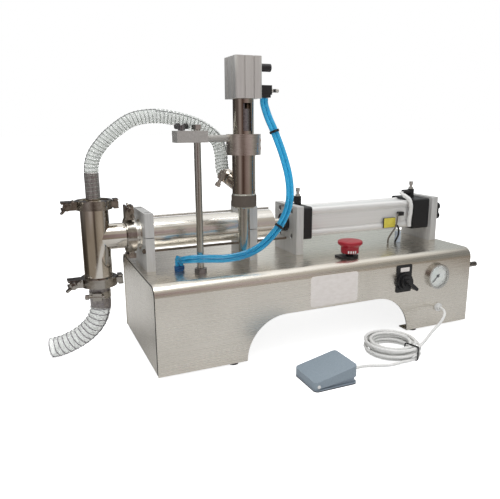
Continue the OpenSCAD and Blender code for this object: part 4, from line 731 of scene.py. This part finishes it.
def end_gap_painted_shadow(name, x):
    """A dark line of painted shadow in the gap between an end plate and the folded sheet, at the front and
    along the top.
    """
    inset, foot, bend, shadow_radius = 3.2, 6, 14, 0.8
    corner = [(bend * (1 - cos(radians(a))), bend * sin(radians(a))) for a in range(0, 91, 10)]
    front = [(x, inset + dy, TOP_Z - inset - bend + dz) for dy, dz in corner]
    path = [(x, inset, foot)] + front + [(x, BASE_W - y, z) for x, y, z in front[::-1]]
    wear(tube(name, [Vector(p) for p in path], shadow_radius, 8), black_rubber, "base")


knurled_collar()
stop_ticks()
pedal_pin()
actuator_needle()
# Painted shadow lines in the gaps at both ends of the cabinet
end_gap_painted_shadow("end_gap_painted_shadow_left", 0.1)
end_gap_painted_shadow("end_gap_painted_shadow_right", BASE_L - 0.1)
plate_on_front("selector_bare_tab", 413.5, 112, 18, 7, 0.3, 1, bare_label, 1.6)


def by_rear_cap(x, y, z):
    """A point by its distance from the rear cap's left end, the cylinder's axis and the cabinet's top."""
    return Vector((REAR_CAP_X + x, AXIS_Y + y, TOP_Z + z))


def reed_switches():
    """Two sensors on the barrel, the left one under a bare sticker, with their leads and the leads' clip."""
    bm = bmesh.new()
    for left, back, low, length, depth, height in ((-62, 25.1, 28.5, 26, 2.6, 18),
            (-60, 22.8, 38.5, 22, 3.6, 7.5), (-31, 22.8, 48.5, 12, 6, 7)):
        middle = by_rear_cap(left + length / 2, -back - depth / 2, low + height / 2)
        rounded_box(bm, (length, depth, height), middle, 0.6)
    bodies = solid("reed_switch_bodies", bm, black_plastic, "base")
    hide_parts("reed_switches")
    bm = bmesh.new()
    rounded_box(bm, (25, 0.3, 17), by_rear_cap(-49, -27.85, 37.5), 0.1)
    solid("bare_switch_sticker", bm, bare_sticker, "base")
    bm = bmesh.new()
    rounded_box(bm, (10, 6, 21), by_rear_cap(-30, -28, 10.5), 1)
    solid("lead_clip", bm, pale_plastic, "base")
    leads = [[(-37.5, -26.6, 32), (-33, -29, 31), (-31, -31, 24), (-32.5, -32.5, 14), (-36, -30.5, 5),
        (-36.5, -29.5, 0.6)], [(-30, -25.8, 52), (-33.5, -29, 51), (-36, -31.5, 45), (-38, -33, 37),
        (-42, -34, 28), (-48.5, -34, 20), (-53, -31.5, 10), (-52, -29, 0.6)]]
    for i, (lead, coat) in enumerate(zip(leads, (black_rubber, grey_lead))):
        path = smooth([by_rear_cap(*p) for p in lead], 6)
        wear(tube("reed_switch_lead_%d" % i, path, 1.5, 10), coat, "base")


def control_sleeve():
    """The rear flow control's tube, and the thick wavy sleeve pulled over it."""
    route = [by_rear_cap(*p) for p in [(2, 0, 86), (-5, -0.5, 86), (-10, -6, 86.5), (-11, -16, 83.5),
        (-8, -27, 77), (-6.5, -31, 66), (-6.5, -30.6, 52), (-7.5, -30, 40), (-7, -29.7, 28)]]
    wear(tube("flow_control_tube", smooth(route[:5], 6), 2.8, 14), white_plastic, "base")
    path = even(smooth(route[3:], 8), 60)
    waves = [1 - 0.07 * (0.5 - 0.5 * cos(2 * pi * i / 12)) for i in range(len(path))]
    wear(tube("flow_control_sleeve", path, 3.75, 18, waves), white_plastic, "base")


reed_switches()
control_sleeve()


# Studio: white surroundings, one soft key light, and a round screen that only the polished steel mirrors

def studio():
    """A white world, which lights the machine less than the camera and reflections see it."""
    world = bpy.data.worlds.new("studio")
    scene.world = world
    tree = bare_tree(world)
    path = add(tree, "LightPath")
    seen = add(tree, "Math", {0: path.outputs["Is Camera Ray"], 1: path.outputs["Is Glossy Ray"]},
        operation="MAXIMUM")
    seen = add(tree, "Math", {0: seen.outputs[0], 1: path.outputs["Is Transmission Ray"]},
        operation="MAXIMUM")
    strength = add(tree, "MapRange", {"Value": seen.outputs[0], "To Min": 0.6, "To Max": 1.0})
    sky = add(tree, "Background", {"Color": (1, 1, 1, 1), "Strength": strength.outputs[0]})
    add(tree, "OutputWorld", {"Surface": sky.outputs[0]})


def staged(name, bm, material):
    """Makes a piece of the studio, which isn't part of the machine."""
    made = meshed(name, bm)
    made.data.materials.append(material)
    return made


def table():
    """A table top that shows white to the camera, keeps the machine's shadow, and is mirrored darker."""
    material = bpy.data.materials.new("white_table")
    tree = bare_tree(material)
    path = add(tree, "LightPath")
    mirrored = add(tree, "MapRange", {"Value": path.outputs["Is Glossy Ray"], "To Min": 0.8,
        "To Max": 0.64})
    matt = add(tree, "BsdfDiffuse", {"Color": mirrored.outputs[0]})
    lift = add(tree, "Math", {0: path.outputs["Is Camera Ray"], 1: path.outputs["Is Transmission Ray"]},
        operation="MAXIMUM")
    lift = add(tree, "Math", {0: lift.outputs[0], 1: 0.85}, operation="MULTIPLY")
    glow = add(tree, "Emission", {"Color": (1, 1, 1, 1), "Strength": lift.outputs[0]})
    both = add(tree, "AddShader", {0: matt.outputs[0], 1: glow.outputs[0]})
    add(tree, "OutputMaterial", {"Surface": both.outputs[0]})
    half_width, sunk = 20, 0.0002
    bm = bmesh.new()
    bmesh.ops.create_grid(bm, x_segments=1, y_segments=1, size=half_width)
    bmesh.ops.translate(bm, vec=(0, 0, -sunk), verts=bm.verts)
    staged("table", bm, material)


def ramp_of(tree, stops):
    """A colour ramp round the machine: azimuth from +X in degrees, and colour, from -180 to 180."""
    turn = add(tree, "TexGradient", {"Vector": add(tree, "TexCoord").outputs["Object"]},
        gradient_type="RADIAL")
    ramp = add(tree, "ValToRGB", {"Fac": turn.outputs["Fac"]})
    marks = ramp.color_ramp.elements
    marks[0].position, marks[1].position = 0, 1
    marks[0].color = colour(stops[0][1])
    marks[1].color = colour(stops[-1][1])
    for azimuth, shade in stops[1:-1]:
        marks.new((azimuth + 180) / 360).color = colour(shade)
    return ramp.outputs["Color"]


def surround():
    """A round screen that only reflections see: dark low down, paler higher up, as a workshop's walls are."""
    radius, top, low_to_high, high_to_crown = 0.66, 1.1, (0.1, 0.2), (0.48, 0.6)
    material = bpy.data.materials.new("workshop_screen")
    tree = bare_tree(material)
    low = ramp_of(tree, [(-180, "#8A8074"), (-142, "#8A8074"), (-133, "#4A4139"), (-127, "#463D35"),
        (-118, "#7C7368"), (-100, "#948A7E"), (-60, "#A89E92"), (-32, "#8E8479"), (-12, "#3E3933"),
        (40, "#2C2824"), (85, "#2A2622"), (112, "#3A352F"), (132, "#7E766B"), (148, "#2E2924"),
        (162, "#3A342D"), (173, "#4A433A"), (180, "#8A8074")])
    high = ramp_of(tree, [(-180, "#665D5C"), (-168, "#847B7A"), (-156, "#B1AAAB"), (-145, "#AFA5A4"),
        (-135, "#7B6B68"), (-123, "#57443E"), (-113, "#73635F"), (-102, "#988888"), (-90, "#A69898"),
        (-69, "#B4A8A8"), (-58, "#A5A19D"), (-46, "#918E88"), (-32, "#7B7B77"), (-10, "#818181"),
        (20, "#B0B4B4"), (47, "#BFC5C4"), (60, "#B8BDBB"), (76, "#E0E1E1"), (90, "#B0B0B0"),
        (104, "#6C6D71"), (130, "#3C3837"), (152, "#575454"), (166, "#6D6965"), (180, "#665D5C")])
    crown = ramp_of(tree, [(-180, "#D0CDC8"), (-130, "#B5AFA6"), (-30, "#B5AFA6"), (5, "#F2F1EE"),
        (120, "#F2F1EE"), (180, "#D0CDC8")])
    height = add(tree, "SeparateXYZ", {0: add(tree, "TexCoord").outputs["Object"]}).outputs["Z"]
    shade = low
    for (start, end), above in ((low_to_high, high), (high_to_crown, crown)):
        share = add(tree, "MapRange", {"Value": height, "From Min": start, "From Max": end})
        mixed = add(tree, "MixRGB", {"Fac": share.outputs[0], "Color1": shade, "Color2": above})
        shade = mixed.outputs[0]
    glow = add(tree, "Emission", {"Color": shade, "Strength": 1.0})
    add(tree, "OutputMaterial", {"Surface": glow.outputs[0]})
    bm = bmesh.new()
    bmesh.ops.create_cone(bm, cap_ends=False, segments=96, radius1=radius, radius2=radius, depth=top,
        matrix=Matrix.Translation((0, 0, top / 2)))
    made = staged("workshop_screen", bm, material)
    made.visible_camera = False
    made.visible_diffuse = False
    made.visible_shadow = False
    made.visible_transmission = False


studio()
table()
surround()


def soft_light(name, place, target, size, power):
    """A square lamp that faces a target; place and target in metres, power in watts."""
    lamp = bpy.data.lights.new(name, "AREA")
    lamp.shape = "SQUARE"
    lamp.size = size
    lamp.energy = power
    made = placed(name, lamp)
    made.location = place
    made.rotation_euler = (Vector(target) - Vector(place)).to_track_quat("-Z", "Y").to_euler()


soft_light("key_light", (-0.3, -0.4, 2.3), (0, 0, 0.1), 1.4, 24)
